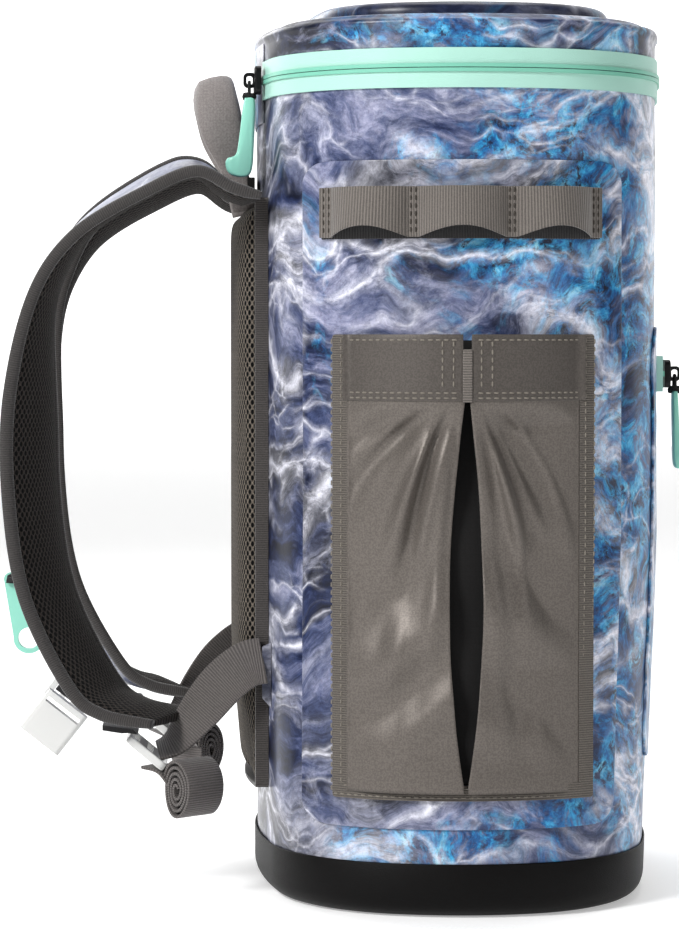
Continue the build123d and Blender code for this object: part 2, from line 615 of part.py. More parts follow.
with BuildPart() as lower_tab:
    with BuildSketch(Plane.XZ.offset(-(SWAY_Y - 1.4))):
        with BuildLine():
            Polyline((-90, 138), (-104.2, 131), (-104.2, 104), (-90, 88), close=True)
        make_face()
    extrude(amount=-2.8)
    add(oval_form(GAP, 60, 160), mode=Mode.SUBTRACT)
save_mirrored(lower_tab, "lower_tab")

web_start = Vector(-118.5, SWAY_Y, ANCHOR_Z)
web_end = lock_plane.from_local_coords((LOCK_LONG / 2 + 1.2, 0, 1.5))
web_run = web_end - web_start
WEB_STATIONS = 5
with BuildPart() as adjust_webbing:
    for k in range(WEB_STATIONS):
        t = k / (WEB_STATIONS - 1)
        place = web_start + web_run * t
        twist = 90 * max(0, 1 - 2 * t)
        section_plane = Plane(origin=place, x_dir=(0, 1, 0), z_dir=web_run.normalized())
        with BuildSketch(section_plane.rotated((0, 0, twist))):
            Rectangle(WEBBING, WEBBING_THICK)
    loft()
save_mirrored(adjust_webbing, "adjust_webbing")

ROLL_MIDDLE = Vector(-140.5, SWAY_Y - 14, 58.0)
ROLL_TURN = 43.0
TAIL_TOP = lock_plane.from_local_coords((5.5, 0, -LOCK_THICK / 2 - 5.4))
roll_plane = Plane(
    origin=ROLL_MIDDLE,
    x_dir=(-sin(ROLL_TURN * pi / 180), cos(ROLL_TURN * pi / 180), 0),
    z_dir=(cos(ROLL_TURN * pi / 180), sin(ROLL_TURN * pi / 180), 0),
)
with BuildPart() as webbing_tail:
    with BuildSketch(roll_plane.offset(-WEBBING / 2)):
        Ellipse(10.2, 15.5)
    extrude(amount=WEBBING)
    with BuildSketch(Plane(origin=TAIL_TOP, x_dir=(0, 1, 0), z_dir=(0.35, 0, -1))):
        Rectangle(WEBBING * 0.9, WEBBING_THICK)
    tail_foot = ROLL_MIDDLE + Vector(-4, 4, 6)
    with BuildSketch(Plane(origin=tail_foot, x_dir=roll_plane.z_dir, z_dir=(0.35, -0.2, -1))):
        Rectangle(WEBBING * 0.9, WEBBING_THICK)
    loft()
save_mirrored(webbing_tail, "webbing_tail")

# ---- chest strap: a webbing end and half a buckle on each shoulder strap --------------------------------
STERNUM = 20.0  # webbing width
STERNUM_ROOT = Vector(-197.5, -86.0, 113.5)
STERNUM_DOWN = Vector(-0.62, 0, -0.785)  # the way the free ends hang
STERNUM_PIVOT = STERNUM_ROOT + STERNUM_DOWN * 13
sternum_plane = Plane(origin=STERNUM_PIVOT, x_dir=(0.785, 0, -0.62), z_dir=STERNUM_DOWN)

with BuildPart() as sternum_webbing:
    with BuildSketch(sternum_plane.offset(-8.5)):
        Rectangle(STERNUM, 2.4)
    extrude(amount=7.0)
    add(strap_slab(-GAP, STRAP_THICK, STRAP_NEAR - 2, STRAP_FAR + 2), mode=Mode.SUBTRACT)
save_mirrored(sternum_webbing, "sternum_webbing")

SOCKET_LONG, SOCKET_WIDE, SOCKET_THICK = 25.0, 25.0, 8.8
with BuildPart() as sternum_socket:
    with BuildSketch(sternum_plane):
        RectangleRounded(SOCKET_WIDE, SOCKET_THICK, 3)
    extrude(amount=SOCKET_LONG)
    with BuildSketch(sternum_plane.offset(SOCKET_LONG)):
        RectangleRounded(SOCKET_WIDE - 5, SOCKET_THICK - 3.6, 1.2)
    extrude(amount=-15, mode=Mode.SUBTRACT)
    with BuildSketch(sternum_plane.offset(3.0)):
        RectangleRounded(STERNUM + 1.0, SOCKET_THICK + 4, 0.8)
    extrude(amount=3.0, mode=Mode.SUBTRACT)
save(sternum_socket, "sternum_socket")

ARM = 3.4
with BuildPart() as sternum_plug_left:
    with BuildSketch(sternum_plane):
        RectangleRounded(SOCKET_WIDE, SOCKET_THICK - 2, 3)
    extrude(amount=11)
    with BuildSketch(sternum_plane.offset(3.0)):
        Rectangle(STERNUM + 1.0, SOCKET_THICK + 4)
    extrude(amount=3.0, mode=Mode.SUBTRACT)
    with BuildSketch(sternum_plane.offset(11)):
        with Locations((-7.6, 0), (0, 0), (7.6, 0)):
            Rectangle(ARM, 4.0)
    extrude(amount=13)
with BuildPart() as sternum_plug:
    mirror(sternum_plug_left.part, about=Plane.XZ)
save(sternum_plug, "sternum_plug")

# ---- moulded tool ring on the left strap ---------------------------------------------------------------
RING_Y = -80.0
RING_EYE = Vector(-226.5, RING_Y, 137.0)
RING_HOLE = 5.6
RING_RIM = 2.4
RING_TOP = Vector(-236.0, RING_Y, 168.0)
RING_THICK = 4.4
with BuildPart() as tool_ring:
    with BuildSketch(Plane.XZ.offset(-(RING_Y + RING_THICK / 2))):
        with BuildLine():
            eye, top = (RING_EYE.X, RING_EYE.Z), (RING_TOP.X, RING_TOP.Z)
            Polyline(
                (eye[0] - RING_HOLE - RING_RIM, eye[1] + 1),
                (top[0] - 3.2, top[1] - 1),
                (top[0] + 3.2, top[1] + 1),
                (eye[0] + RING_HOLE + RING_RIM, eye[1] + 3),
                close=True,
            )
        make_face()
        with Locations(eye):
            Circle(RING_HOLE + RING_RIM)
        with Locations(top):
            Circle(3.4)
            Circle(1.5, mode=Mode.SUBTRACT)
        with Locations(eye):
            Circle(RING_HOLE, mode=Mode.SUBTRACT)
    extrude(amount=RING_THICK)
save(tool_ring, "tool_ring")

with BuildPart() as ring_keeper:
    with BuildSketch(Plane.XZ.offset(-(RING_Y + 7))):
        with Locations((RING_TOP.X, RING_TOP.Z)):
            Circle(1.3)
    extrude(amount=14)
    for side in (-1, 1):
        keeper_y = RING_Y + side * (RING_THICK / 2 + 2.2)
        with BuildSketch(Plane.XZ.offset(-(keeper_y + 1.0))):
            with BuildLine():
                Polyline(
                    (RING_TOP.X - 2.2, RING_TOP.Z - 1.8), (RING_TOP.X - 1.4, RING_TOP.Z + 2.2),
                    (-225.6, 176), (-224.2, 165.5), close=True,
                )
            make_face()
        extrude(amount=2.0)
    add(strap_slab(-GAP, STRAP_THICK, STRAP_NEAR - 2, STRAP_FAR + 2), mode=Mode.SUBTRACT)
save(ring_keeper, "ring_keeper")

print(len(names), "nodes, handle pivot", handle_pivot)
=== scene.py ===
"""Looks of the tackle backpack: welded camouflage skin, zips, webbing, pockets, mesh padding and harness.

Every piece is in metres in the row frame. The bag's wall is the oval of tangent arcs that the frame's shell
follows, so pieces on it are placed by the direction their wall faces, a height and an offset outwards.
"""
from math import asin, atan2, copysign, cos, hypot, pi, radians, sin, sqrt

import bmesh
import bpy
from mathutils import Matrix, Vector, noise


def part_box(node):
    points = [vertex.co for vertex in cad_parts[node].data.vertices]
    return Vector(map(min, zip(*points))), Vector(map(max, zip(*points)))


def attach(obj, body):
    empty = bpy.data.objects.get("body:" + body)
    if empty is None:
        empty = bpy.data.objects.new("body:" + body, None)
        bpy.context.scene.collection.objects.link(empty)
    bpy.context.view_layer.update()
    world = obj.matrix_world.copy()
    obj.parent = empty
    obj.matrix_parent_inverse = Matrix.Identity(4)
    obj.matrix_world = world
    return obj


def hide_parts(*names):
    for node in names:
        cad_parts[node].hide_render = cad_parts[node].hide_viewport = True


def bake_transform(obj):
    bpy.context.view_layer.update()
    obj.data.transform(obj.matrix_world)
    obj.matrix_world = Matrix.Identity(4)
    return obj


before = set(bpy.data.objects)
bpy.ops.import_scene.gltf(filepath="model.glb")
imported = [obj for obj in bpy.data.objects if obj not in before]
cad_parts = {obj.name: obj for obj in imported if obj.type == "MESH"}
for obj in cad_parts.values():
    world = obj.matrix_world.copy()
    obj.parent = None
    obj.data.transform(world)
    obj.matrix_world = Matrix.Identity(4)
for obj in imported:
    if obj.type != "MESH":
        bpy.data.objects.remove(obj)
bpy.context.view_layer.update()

SIDES = (("left", -1), ("right", 1))

# ---- the oval wall -------------------------------------------------------------------------------------
shell_low, shell_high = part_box("main_shell")
HALF_DEPTH = (shell_high.x - shell_low.x) / 2
HALF_WIDTH = (shell_high.y - shell_low.y) / 2
MIDDLE = (shell_high.x + shell_low.x) / 2
CORNER = 0.087
END_BOW, SIDE_BOW = 0.006, 0.002
CORNER_X = HALF_DEPTH - CORNER - END_BOW
CORNER_Y = HALF_WIDTH - CORNER - SIDE_BOW
SIDE_RADIUS = (CORNER_X**2 + (CORNER_Y - HALF_WIDTH) ** 2 - CORNER**2) / (2 * SIDE_BOW)
END_RADIUS = (CORNER_Y**2 + (CORNER_X - HALF_DEPTH) ** 2 - CORNER**2) / (2 * END_BOW)
SIDE_TURN = atan2(CORNER_X, CORNER_Y - HALF_WIDTH + SIDE_RADIUS)
END_TURN = atan2(CORNER_Y, CORNER_X - HALF_DEPTH + END_RADIUS)
LEAN, LEAN_TOP = 0.0065, 0.19  # the front leans in below this height
CREASE = 0.0011


def smooth(t):
    """0 to 1 with soft ends."""
    t = min(max(t, 0.0), 1.0)
    return t * t * (3 - 2 * t)


def crease(x, y, z):
    """Soft upright creases of the coated fabric, none at the zips, the base and under the pad."""
    field = noise.noise(Vector((x * 26, y * 26, z * 7)))
    field += 0.5 * noise.noise(Vector((x * 60, y * 60, z * 16 + 9)))
    fade = smooth((z - 0.032) / 0.03) * smooth((0.412 - z) / 0.02)
    if x < -0.09 and abs(y) < 0.09:
        fade *= smooth((abs(y) - 0.07) / 0.02)
    if abs(x) < 0.085:
        fade *= 0.3 + 0.7 * smooth((abs(x) - 0.072) / 0.01)
    if x > 0.09:
        fade *= smooth((hypot(max(abs(y) - 0.05, 0), (z - 0.275) * 2) - 0.03) / 0.02)
    return CREASE * field * fade


def wall(turn, z, out=0.0, creased=True):
    """The point of the wall that faces a direction (radians from +X), at a height, offset outwards."""
    c, s = cos(turn), sin(turn)
    steep = atan2(abs(s), abs(c))
    if steep < END_TURN:
        cx, cy, r = HALF_DEPTH - END_RADIUS, 0.0, END_RADIUS
    elif steep > pi / 2 - SIDE_TURN:
        cx, cy, r = 0.0, HALF_WIDTH - SIDE_RADIUS, SIDE_RADIUS
    else:
        cx, cy, r = CORNER_X, CORNER_Y, CORNER
    x = MIDDLE + copysign(1, c) * cx + (r + out) * c
    y = copysign(1, s) * cy + (r + out) * s
    if creased:
        push = crease(x, y, z)
        x, y = x + push * c, y + push * s
    x -= LEAN * max(0.0, c) * max(0.0, 1 - z / LEAN_TOP)
    return Vector((x, y, z))


def even_turns(count):
    """Directions evenly spaced along the whole wall, starting at the back."""
    fine = [-pi + 2 * pi * k / 2880 for k in range(2881)]
    points = [wall(t, 0.3, 0, False) for t in fine]
    along = [0.0]
    for a, b in zip(points, points[1:]):
        along.append(along[-1] + (b - a).length)
    picked, k = [], 0
    for i in range(count):
        while along[k + 1] < along[-1] * i / count:
            k += 1
        picked.append(fine[k])
    return picked


def side_turn(x, side):
    """The direction that the side's wall faces at a place along the bag's depth."""
    low, high = -pi, 0.0
    for _ in range(40):
        half = (low + high) / 2
        if wall(half, 0.3, 0, False).x < x:
            low = half
        else:
            high = half
    return half if side < 0 else -half


def on_side(x, z, out, side, creased=True):
    """A point on the left (-1) or right (1) side."""
    return wall(side_turn(x, side), z, out, creased)


# ---- meshes --------------------------------------------------------------------------------------------
def add_mesh(name, points, faces, material, uvs=None, body="bag", replaces=(), slot=None, ride=True):
    """A smooth-shaded mesh object with normals made consistent."""
    mesh = bpy.data.meshes.new(name)
    mesh.from_pydata([tuple(p) for p in points], [], [tuple(f) for f in faces])
    if uvs:
        layer = mesh.uv_layers.new(name="UVMap")
        for loop in mesh.loops:
            layer.data[loop.index].uv = uvs[loop.vertex_index]
    work = bmesh.new()
    work.from_mesh(mesh)
    bmesh.ops.recalc_face_normals(work, faces=work.faces)
    work.to_mesh(mesh)
    work.free()
    for face in mesh.polygons:
        face.use_smooth = True
    made = bpy.data.objects.new(name, mesh)
    bpy.context.scene.collection.objects.link(made)
    made.data.materials.append(material)
    if ride:
        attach(made, body)
    if replaces:
        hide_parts(*replaces)
    return made


def grid_faces(rows, columns, wrap=False, start=0):
    """Quads of a grid of points that are stored row by row."""
    faces = []
    for r in range(rows - 1):
        for c in range(columns if wrap else columns - 1):
            d = (c + 1) % columns
            faces.append([start + r * columns + c, start + r * columns + d,
                          start + (r + 1) * columns + d, start + (r + 1) * columns + c])
    return faces


def slab(name, outer, inner, material, wrap=False, uvs=None, crisp=0.0004, **more):
    """A closed sheet between two equal grids of points."""
    rows, columns = len(outer), len(outer[0])
    points = [p for row in outer for p in row] + [p for row in inner for p in row]
    half = rows * columns
    faces = grid_faces(rows, columns, wrap) + grid_faces(rows, columns, wrap, half)
    for r in (0, rows - 1):
        for c in range(columns if wrap else columns - 1):
            a, b = r * columns + c, r * columns + (c + 1) % columns
            faces.append([a, b, half + b, half + a])
    if not wrap:
        for c in (0, columns - 1):
            for r in range(rows - 1):
                a, b = r * columns + c, (r + 1) * columns + c
                faces.append([a, b, half + b, half + a])
    flat = [uv for row in uvs for uv in row] * 2 if uvs else None
    made = add_mesh(name, points, faces, material, flat, **more)
    if crisp:
        soften(made, crisp)
    return made


def soften(made, width):
    """A narrow bevel along sharp edges."""
    bevel = made.modifiers.new("Bevel", "BEVEL")
    bevel.width = width
    bevel.segments = 2
    bevel.limit_method = "ANGLE"
    bevel.angle_limit = radians(50)


def tube_faces(rings, size):
    """Faces of a run of closed rings, with both ends filled."""
    faces = grid_faces(rings, size, wrap=True)
    faces.append(list(range(size))[::-1])
    faces.append([(rings - 1) * size + k for k in range(size)])
    return faces


def spline(points, steps):
    """Points of a smooth curve through the given points."""
    route = []
    for k in range(len(points) - 1):
        p0 = points[max(k - 1, 0)]
        p1, p2 = points[k], points[k + 1]
        p3 = points[min(k + 2, len(points) - 1)]
        for i in range(steps):
            t = i / steps
            route.append(0.5 * ((2 * p1) + (p2 - p0) * t + (2 * p0 - 5 * p1 + 4 * p2 - p3) * t * t
                                + (3 * p1 - p0 - 3 * p2 + p3) * t**3))
    route.append(points[-1].copy())
    return route


def tangents(route):
    """The direction of travel at each point."""
    last = len(route) - 1
    return [(route[min(k + 1, last)] - route[max(k - 1, 0)]).normalized() for k in range(last + 1)]


def ribbon(name, route, across, width, thick, material, crown=0.0, lanes=6, **more):
    """Flat webbing along a route. across holds its width direction at each point."""
    outer, inner, uvs, along = [], [], [], 0.0
    for k, (centre, direction) in enumerate(zip(route, tangents(route))):
        if k:
            along += (centre - route[k - 1]).length
        side = (across[k] - direction * across[k].dot(direction)).normalized()
        up = direction.cross(side)
        offsets = [(j / lanes - 0.5) * width for j in range(lanes + 1)]
        lift = [thick / 2 + crown * (1 - (2 * o / width) ** 2) for o in offsets]
        outer.append([centre + side * o + up * h for o, h in zip(offsets, lift)])
        inner.append([centre + side * o + up * (h - thick) for o, h in zip(offsets, lift)])
        uvs.append([(along, o) for o in offsets])
    return slab(name, outer, inner, material, uvs=uvs, **more)


def tube(name, route, radius, material, size=10, **more):
    """A round cord along a route."""
    points, faces = [], tube_faces(len(route), size)
    up = Vector((0.3, 0.9, 0.2)).normalized()
    for centre, direction in zip(route, tangents(route)):
        side = direction.cross(up).normalized()
        top = side.cross(direction)
        for j in range(size):
            a = 2 * pi * j / size
            points.append(centre + radius * (cos(a) * side + sin(a) * top))
        up = top
    return add_mesh(name, points, faces, material, **more)


STITCH_RINGS = ((0.0, 0.35, -0.6), (0.2, 1.0, 0.3), (0.8, 1.0, 0.3), (1.0, 0.35, -0.6))


def stitch_points(route, outs, long=0.0027, gap=0.0013, radius=0.00038, size=6):
    """Points and faces of a row of stitches that lie on a surface. outs holds its normals."""
    points, faces = [], []
    along, due = 0.0, gap
    for k in range(1, len(route)):
        step = (route[k] - route[k - 1]).length
        while step > 0 and along + step >= due:
            t = (due - along) / step
            place = route[k - 1].lerp(route[k], t)
            direction = (route[k] - route[k - 1]).normalized()
            out = outs[k]
            side = direction.cross(out).normalized()
            base = len(points)
            for at, thick, lift in STITCH_RINGS:
                centre = place + direction * (long * at) + out * (radius * lift)
                for j in range(size):
                    a = 2 * pi * j / size
                    points.append(centre + radius * thick * (1.25 * cos(a) * side + sin(a) * out))
            faces += [[base + f for f in face] for face in tube_faces(len(STITCH_RINGS), size)]
            due += long + gap
        along += step
    return points, faces


def stitching(name, rows, material, **more):
    """Several rows of stitches as one piece."""
    points, faces = [], []
    for route, outs in rows:
        new_points, new_faces = stitch_points(route, outs)
        faces += [[len(points) + f for f in face] for face in new_faces]
        points += new_points
    return add_mesh(name, points, faces, material, **more)


# ---- materials -----------------------------------------------------------------------------------------
def srgb(r, g, b):
    """A linear colour from 0 to 255 display values."""
    parts = [v / 255 for v in (r, g, b)]
    return tuple(v / 12.92 if v <= 0.04045 else ((v + 0.055) / 1.055) ** 2.4 for v in parts) + (1.0,)


def node(tree, kind, settings=None, **sockets):
    """A shader node. Sockets are given by name, or as i0, i1 by place."""
    made = tree.nodes.new("ShaderNode" + kind)
    for key, value in (settings or {}).items():
        setattr(made, key, value)
    for key, value in sockets.items():
        socket = made.inputs[int(key[1:])] if key[1:].isdigit() else made.inputs[key.replace("_", " ")]
        if isinstance(value, bpy.types.NodeSocket):
            tree.links.new(value, socket)
        else:
            socket.default_value = value
    return made


def start(name, slot, roughness, **shader):
    """An empty material with its shader's constants set."""
    made = bpy.data.materials.new(name)
    made.use_nodes = True
    made["slot"] = slot
    tree = made.node_tree
    bsdf = tree.nodes["Principled BSDF"]
    bsdf.inputs["Roughness"].default_value = roughness
    bsdf.inputs["Specular IOR Level"].default_value = 0.28
    for key, value in shader.items():
        bsdf.inputs[key.replace("_", " ")].default_value = value
    return made, tree, bsdf


def math(tree, operation, a, b=0.5, clamp=False):
    return node(tree, "Math", {"operation": operation, "use_clamp": clamp}, i0=a, i1=b).outputs[0]


def vector(tree, operation, a, b=(0, 0, 0)):
    return node(tree, "VectorMath", {"operation": operation}, i0=a, i1=b).outputs[0]


def ramp(tree, value, stops):
    """A colour ramp from (place, colour) stops."""
    made = node(tree, "ValToRGB", i0=value)
    elements = made.color_ramp.elements
    while len(elements) < len(stops):
        elements.new(0.5)
    for element, (place, colour) in zip(elements, stops):
        element.position = place
        element.color = colour if len(colour) == 4 else (*colour, 1)
    return made.outputs[0]


def mask(tree, value, low, high):
    """0 below low and 1 above high."""
    return ramp(tree, value, [(low, (0, 0, 0)), (high, (1, 1, 1))])


def mix(tree, factor, a, b, blend="MIX"):
    return node(tree, "MixRGB", {"blend_type": blend}, i0=factor, i1=a, i2=b).outputs[0]


def cloud(tree, coords, scale, detail=4.0, roughness=0.55, distortion=0.0):
    return node(tree, "TexNoise", Vector=coords, Scale=scale, Detail=detail, Roughness=roughness,
                Distortion=distortion).outputs[0]


def bump(tree, bsdf, height, strength, distance=0.0006):
    made = node(tree, "Bump", Height=height, Strength=strength, Distance=distance)
    tree.links.new(made.outputs[0], bsdf.inputs["Normal"])


def place_coords(tree):
    return node(tree, "TexCoord").outputs["Object"]


def camo(name, slot, shift=(0, 0, 0), dark=0.0):
    """Water seen from above: navy and lilac swells, azure patches, and pale webs of light."""
    made, tree, bsdf = start(name, slot, 0.34, Coat_Weight=0.08, Coat_Roughness=0.25)
    coords = vector(tree, "ADD", place_coords(tree), shift)
    drift = node(tree, "TexNoise", Vector=coords, Scale=8.0, Detail=4.0).outputs[1]
    drift = vector(tree, "MULTIPLY", vector(tree, "SUBTRACT", drift, (0.5, 0.5, 0.5)), (0.16, 0.16, 0.12))
    warped = vector(tree, "ADD", coords, drift)
    streaked = node(tree, "Mapping", Vector=warped, Rotation=(0.0, radians(22), 0.0),
                    Scale=(0.6, 0.8, 1.9)).outputs[0]
    grit = cloud(tree, streaked, 70.0, 6.0, 0.75, 0.4)
    swell = math(tree, "ADD", cloud(tree, streaked, 11.0, 8.0, 0.64, 0.9),
                 math(tree, "MULTIPLY", math(tree, "SUBTRACT", grit, 0.5), 0.42))
    colour = ramp(tree, swell, [
        (0.40, srgb(10, 15, 34)), (0.48, srgb(26, 36, 68)), (0.54, srgb(56, 66, 100)),
        (0.61, srgb(98, 104, 134)), (0.70, srgb(152, 154, 180)), (0.82, srgb(216, 214, 232))])
    ahead = math(tree, "MULTIPLY", node(tree, "SeparateXYZ", i0=place_coords(tree)).outputs[0], 0.9)
    patch = cloud(tree, vector(tree, "ADD", warped, (3.1, 1.7, 0.4)), 9.0, 5.0, 0.62, 0.5)
    patch = mask(tree, math(tree, "ADD", patch, ahead), 0.475, 0.55)
    speckle = mask(tree, cloud(tree, warped, 130.0, 4.0, 0.75), 0.40, 0.53)
    azure = ramp(tree, cloud(tree, warped, 60.0, 5.0, 0.72), [
        (0.36, srgb(12, 46, 92)), (0.46, srgb(20, 96, 156)), (0.56, srgb(52, 156, 206)),
        (0.70, srgb(150, 212, 230))])
    colour = mix(tree, math(tree, "MULTIPLY", math(tree, "MULTIPLY", patch, speckle), 0.95), colour, azure)
    wisp = mask(tree, grit, 0.36, 0.58)
    haze = cloud(tree, vector(tree, "ADD", streaked, (7.3, 2.2, 5.1)), 15.0, 6.0, 0.7, 0.7)
    haze = math(tree, "MULTIPLY", mask(tree, haze, 0.54, 0.72), wisp)
    colour = mix(tree, math(tree, "MULTIPLY", haze, 0.5), colour, srgb(208, 210, 230))
    veins = ((9.0, 0.0, 0.43, 0.95), (19.0, 5.0, 0.45, 0.9), (40.0, 9.0, 0.47, 0.7))
    for scale, seed, low, strength in veins:
        spot = vector(tree, "ADD", streaked, (seed, seed * 0.7, -seed))
        edge = node(tree, "TexVoronoi", {"feature": "DISTANCE_TO_EDGE"}, Vector=spot, Scale=scale).outputs[0]
        line = ramp(tree, edge, [(0.0, (1, 1, 1)), (0.016, (0.78, 0.78, 0.78)), (0.055, (0.27, 0.27, 0.27)),
                                 (0.14, (0, 0, 0))])
        part = mask(tree, cloud(tree, spot, scale * 0.45, 3.0, 0.6), low, low + 0.14)
        amount = math(tree, "MULTIPLY", math(tree, "MULTIPLY", line, part), strength)
        amount = math(tree, "MULTIPLY", amount, math(tree, "ADD", math(tree, "MULTIPLY", wisp, 0.8), 0.2))
        colour = mix(tree, amount, colour, srgb(236, 236, 246))
    grain = cloud(tree, coords, 240.0, 4.0, 0.8)
    grain = ramp(tree, grain, [(0.38, (0.72, 0.72, 0.74)), (0.56, (1.04, 1.04, 1.04))])
    colour = mix(tree, 1.0, colour, grain, "MULTIPLY")
    if dark:
        colour = mix(tree, dark, colour, srgb(12, 16, 36))
    tree.links.new(colour, bsdf.inputs["Base Color"])
    weave = cloud(tree, coords, 900.0, 2.0)
    wrinkle = cloud(tree, coords, 42.0, 3.0)
    bump(tree, bsdf, math(tree, "ADD", math(tree, "MULTIPLY", weave, 0.12), wrinkle), 0.22, 0.0012)
    return made


def webbing(name, slot, colour, ribs="uv", pitch=0.0013, deep=0.45):
    """Ribbed webbing. Ribs run across the tape, by its own map or by the row's X, Y or Z."""
    made, tree, bsdf = start(name, slot, 0.72, Sheen_Weight=0.25, Sheen_Roughness=0.5)
    if ribs == "uv":
        along = node(tree, "SeparateXYZ", i0=node(tree, "TexCoord").outputs["UV"]).outputs[0]
    else:
        along = node(tree, "SeparateXYZ", i0=place_coords(tree)).outputs["XYZ".index(ribs)]
    wave = math(tree, "SINE", math(tree, "MULTIPLY", along, 2 * pi / pitch))
    rib = math(tree, "ADD", math(tree, "MULTIPLY", wave, 0.5), 0.5)
    fray = cloud(tree, place_coords(tree), 1400.0, 2.0)
    broad = cloud(tree, place_coords(tree), 35.0, 3.0)
    # The rib crests are painted lighter and the grooves darker, which is painted highlight and shade on the
    # ribs. The fray adds random yarn tone on top.
    rib_shade_and_fray = math(tree, "ADD", math(tree, "MULTIPLY", rib, 0.45), math(tree, "MULTIPLY", fray, 0.55))
    dark = tuple(c * 0.44 for c in colour[:3]) + (1,)
    light = tuple(min(1, c * 1.42) for c in colour[:3]) + (1,)
    tone = ramp(tree, rib_shade_and_fray, [(0.2, dark), (0.75, light)])
    tone = mix(tree, math(tree, "MULTIPLY", broad, 0.3), tone, dark)
    tree.links.new(tone, bsdf.inputs["Base Color"])
    bump(tree, bsdf, math(tree, "ADD", rib, math(tree, "MULTIPLY", fray, 0.5)), deep, 0.0006)
    return made


def cloth(name, slot, colour, cell=0.0028, shine=0.5, line=0.4, **shader):
    """Plain or ripstop cloth, with a fine square grid."""
    made, tree, bsdf = start(name, slot, shine, Sheen_Weight=0.15, Sheen_Roughness=0.35, **shader)
    parts = node(tree, "SeparateXYZ", i0=place_coords(tree))
    waves = [math(tree, "ABSOLUTE", math(tree, "SINE", math(tree, "MULTIPLY", parts.outputs[k], pi / cell)))
             for k in (0, 2)]
    thread = mask(tree, math(tree, "MINIMUM", *waves), 0.02, 0.3)
    fray = cloud(tree, place_coords(tree), 1100.0, 2.0)
    broad = cloud(tree, place_coords(tree), 18.0, 3.0)
    light = tuple(min(1, c * 1.22) for c in colour[:3]) + (1,)
    dark = tuple(c * 0.5 for c in colour[:3]) + (1,)
    tone = mix(tree, math(tree, "MULTIPLY", math(tree, "SUBTRACT", 1.0, thread), line), light, dark)
    fleck = math(tree, "MULTIPLY", mask(tree, fray, 0.42, 0.60), 0.4)
    tone = mix(tree, math(tree, "ADD", fleck, math(tree, "MULTIPLY", broad, 0.2)), tone, dark)
    tree.links.new(tone, bsdf.inputs["Base Color"])
    bump(tree, bsdf, math(tree, "ADD", thread, math(tree, "MULTIPLY", fray, 0.6)), 0.07, 0.0003)
    return made


def air_mesh(name, slot, colour, wide=0.0038, tall=0.0050, by_uv=False):
    """Spacer mesh: staggered rows of round holes through a knitted face."""
    made, tree, bsdf = start(name, slot, 0.9, Sheen_Weight=0.04, Specular_IOR_Level=0.12)
    if by_uv:
        parts = node(tree, "SeparateXYZ", i0=node(tree, "TexCoord").outputs["UV"])
        u, v = parts.outputs[1], parts.outputs[0]
    else:
        parts = node(tree, "SeparateXYZ", i0=place_coords(tree))
        u = math(tree, "ADD", parts.outputs[0], math(tree, "ABSOLUTE", parts.outputs[1]))
        v = parts.outputs[2]
    flat = node(tree, "CombineXYZ", i0=math(tree, "DIVIDE", u, wide),
                i1=math(tree, "DIVIDE", v, tall)).outputs[0]
    reach = []
    for shift in ((0, 0, 0), (0.5, 0.5, 0)):
        cell = vector(tree, "FRACTION", vector(tree, "ADD", flat, shift))
        cell = vector(tree, "SUBTRACT", cell, (0.5, 0.5, 0))
        reach.append(node(tree, "VectorMath", {"operation": "LENGTH"}, i0=cell).outputs["Value"])
    near = math(tree, "MINIMUM", *reach)
    solid = mask(tree, near, 0.23, 0.32)
    fray = cloud(tree, place_coords(tree), 1300.0, 2.0)
    light = tuple(min(1, c * 1.3) for c in colour[:3]) + (1,)
    dark = tuple(c * 0.6 for c in colour[:3]) + (1,)
    knit = ramp(tree, fray, [(0.35, dark), (0.65, light)])
    # The holes are painted near black. This is painted shade inside holes that have no depth of their own.
    tree.links.new(mix(tree, solid, srgb(5, 5, 5), knit), bsdf.inputs["Base Color"])
    bump(tree, bsdf, math(tree, "ADD", solid, math(tree, "MULTIPLY", fray, 0.25)), 0.9, 0.0012)
    return made


def moulded(name, slot, colour, roughness, pebble=0.0, scale=900.0, **shader):
    """Moulded plastic, rubber or foam, with a fine surface and slight unevenness of tone."""
    made, tree, bsdf = start(name, slot, roughness, **shader)
    grain = cloud(tree, place_coords(tree), scale, 3.0)
    broad = cloud(tree, place_coords(tree), 24.0, 3.0)
    dark = tuple(c * 0.86 for c in colour[:3]) + (1,)
    tree.links.new(mix(tree, math(tree, "MULTIPLY", broad, 0.8), colour, dark), bsdf.inputs["Base Color"])
    bump(tree, bsdf, grain, pebble, 0.0004)
    return made


SKIN = camo("water_camo", "camo_fabric")
PANEL_SKIN = camo("water_camo_panels", "camo_fabric", shift=(0.31, 0.0, 0.17))
CROWN_SKIN = camo("water_camo_crown", "crown_fabric", shift=(0.11, 0.2, 0.0), dark=0.55)
GREY = srgb(102, 96, 91)
STRAP_GREY = srgb(54, 51, 50)
WEB = webbing("ribbed_webbing", "grey_webbing", GREY)
WEB_X = webbing("ribbed_webbing_flat", "grey_webbing", GREY, ribs="X")
BINDING = webbing("binding_tape", "grey_webbing", srgb(90, 84, 78), ribs="Z", pitch=0.0012, deep=0.5)
STRAP_BINDING = webbing("strap_binding", "grey_webbing", STRAP_GREY, pitch=0.0012, deep=0.4)
PAD_BINDING = webbing("pad_binding", "grey_webbing", srgb(64, 60, 58), ribs="Z", pitch=0.0012, deep=0.4)
STRAP_WEB = webbing("strap_webbing", "grey_webbing", srgb(88, 83, 81))
BLACK_WEB = webbing("black_webbing", "dark_fabric", srgb(38, 37, 38))
POCKET = cloth("pocket_ripstop", "pocket_ripstop", srgb(98, 92, 87), shine=0.45, line=0.12, Metallic=0.4)
BAND = cloth("pocket_band", "pocket_ripstop", srgb(80, 75, 71), shine=0.5, line=0.12, Metallic=0.3)
GRIP = cloth("grip_cloth", "grip_fabric", srgb(122, 116, 114), cell=0.0018, shine=0.7)
LINING = cloth("black_lining", "dark_fabric", srgb(16, 15, 15), shine=0.9)
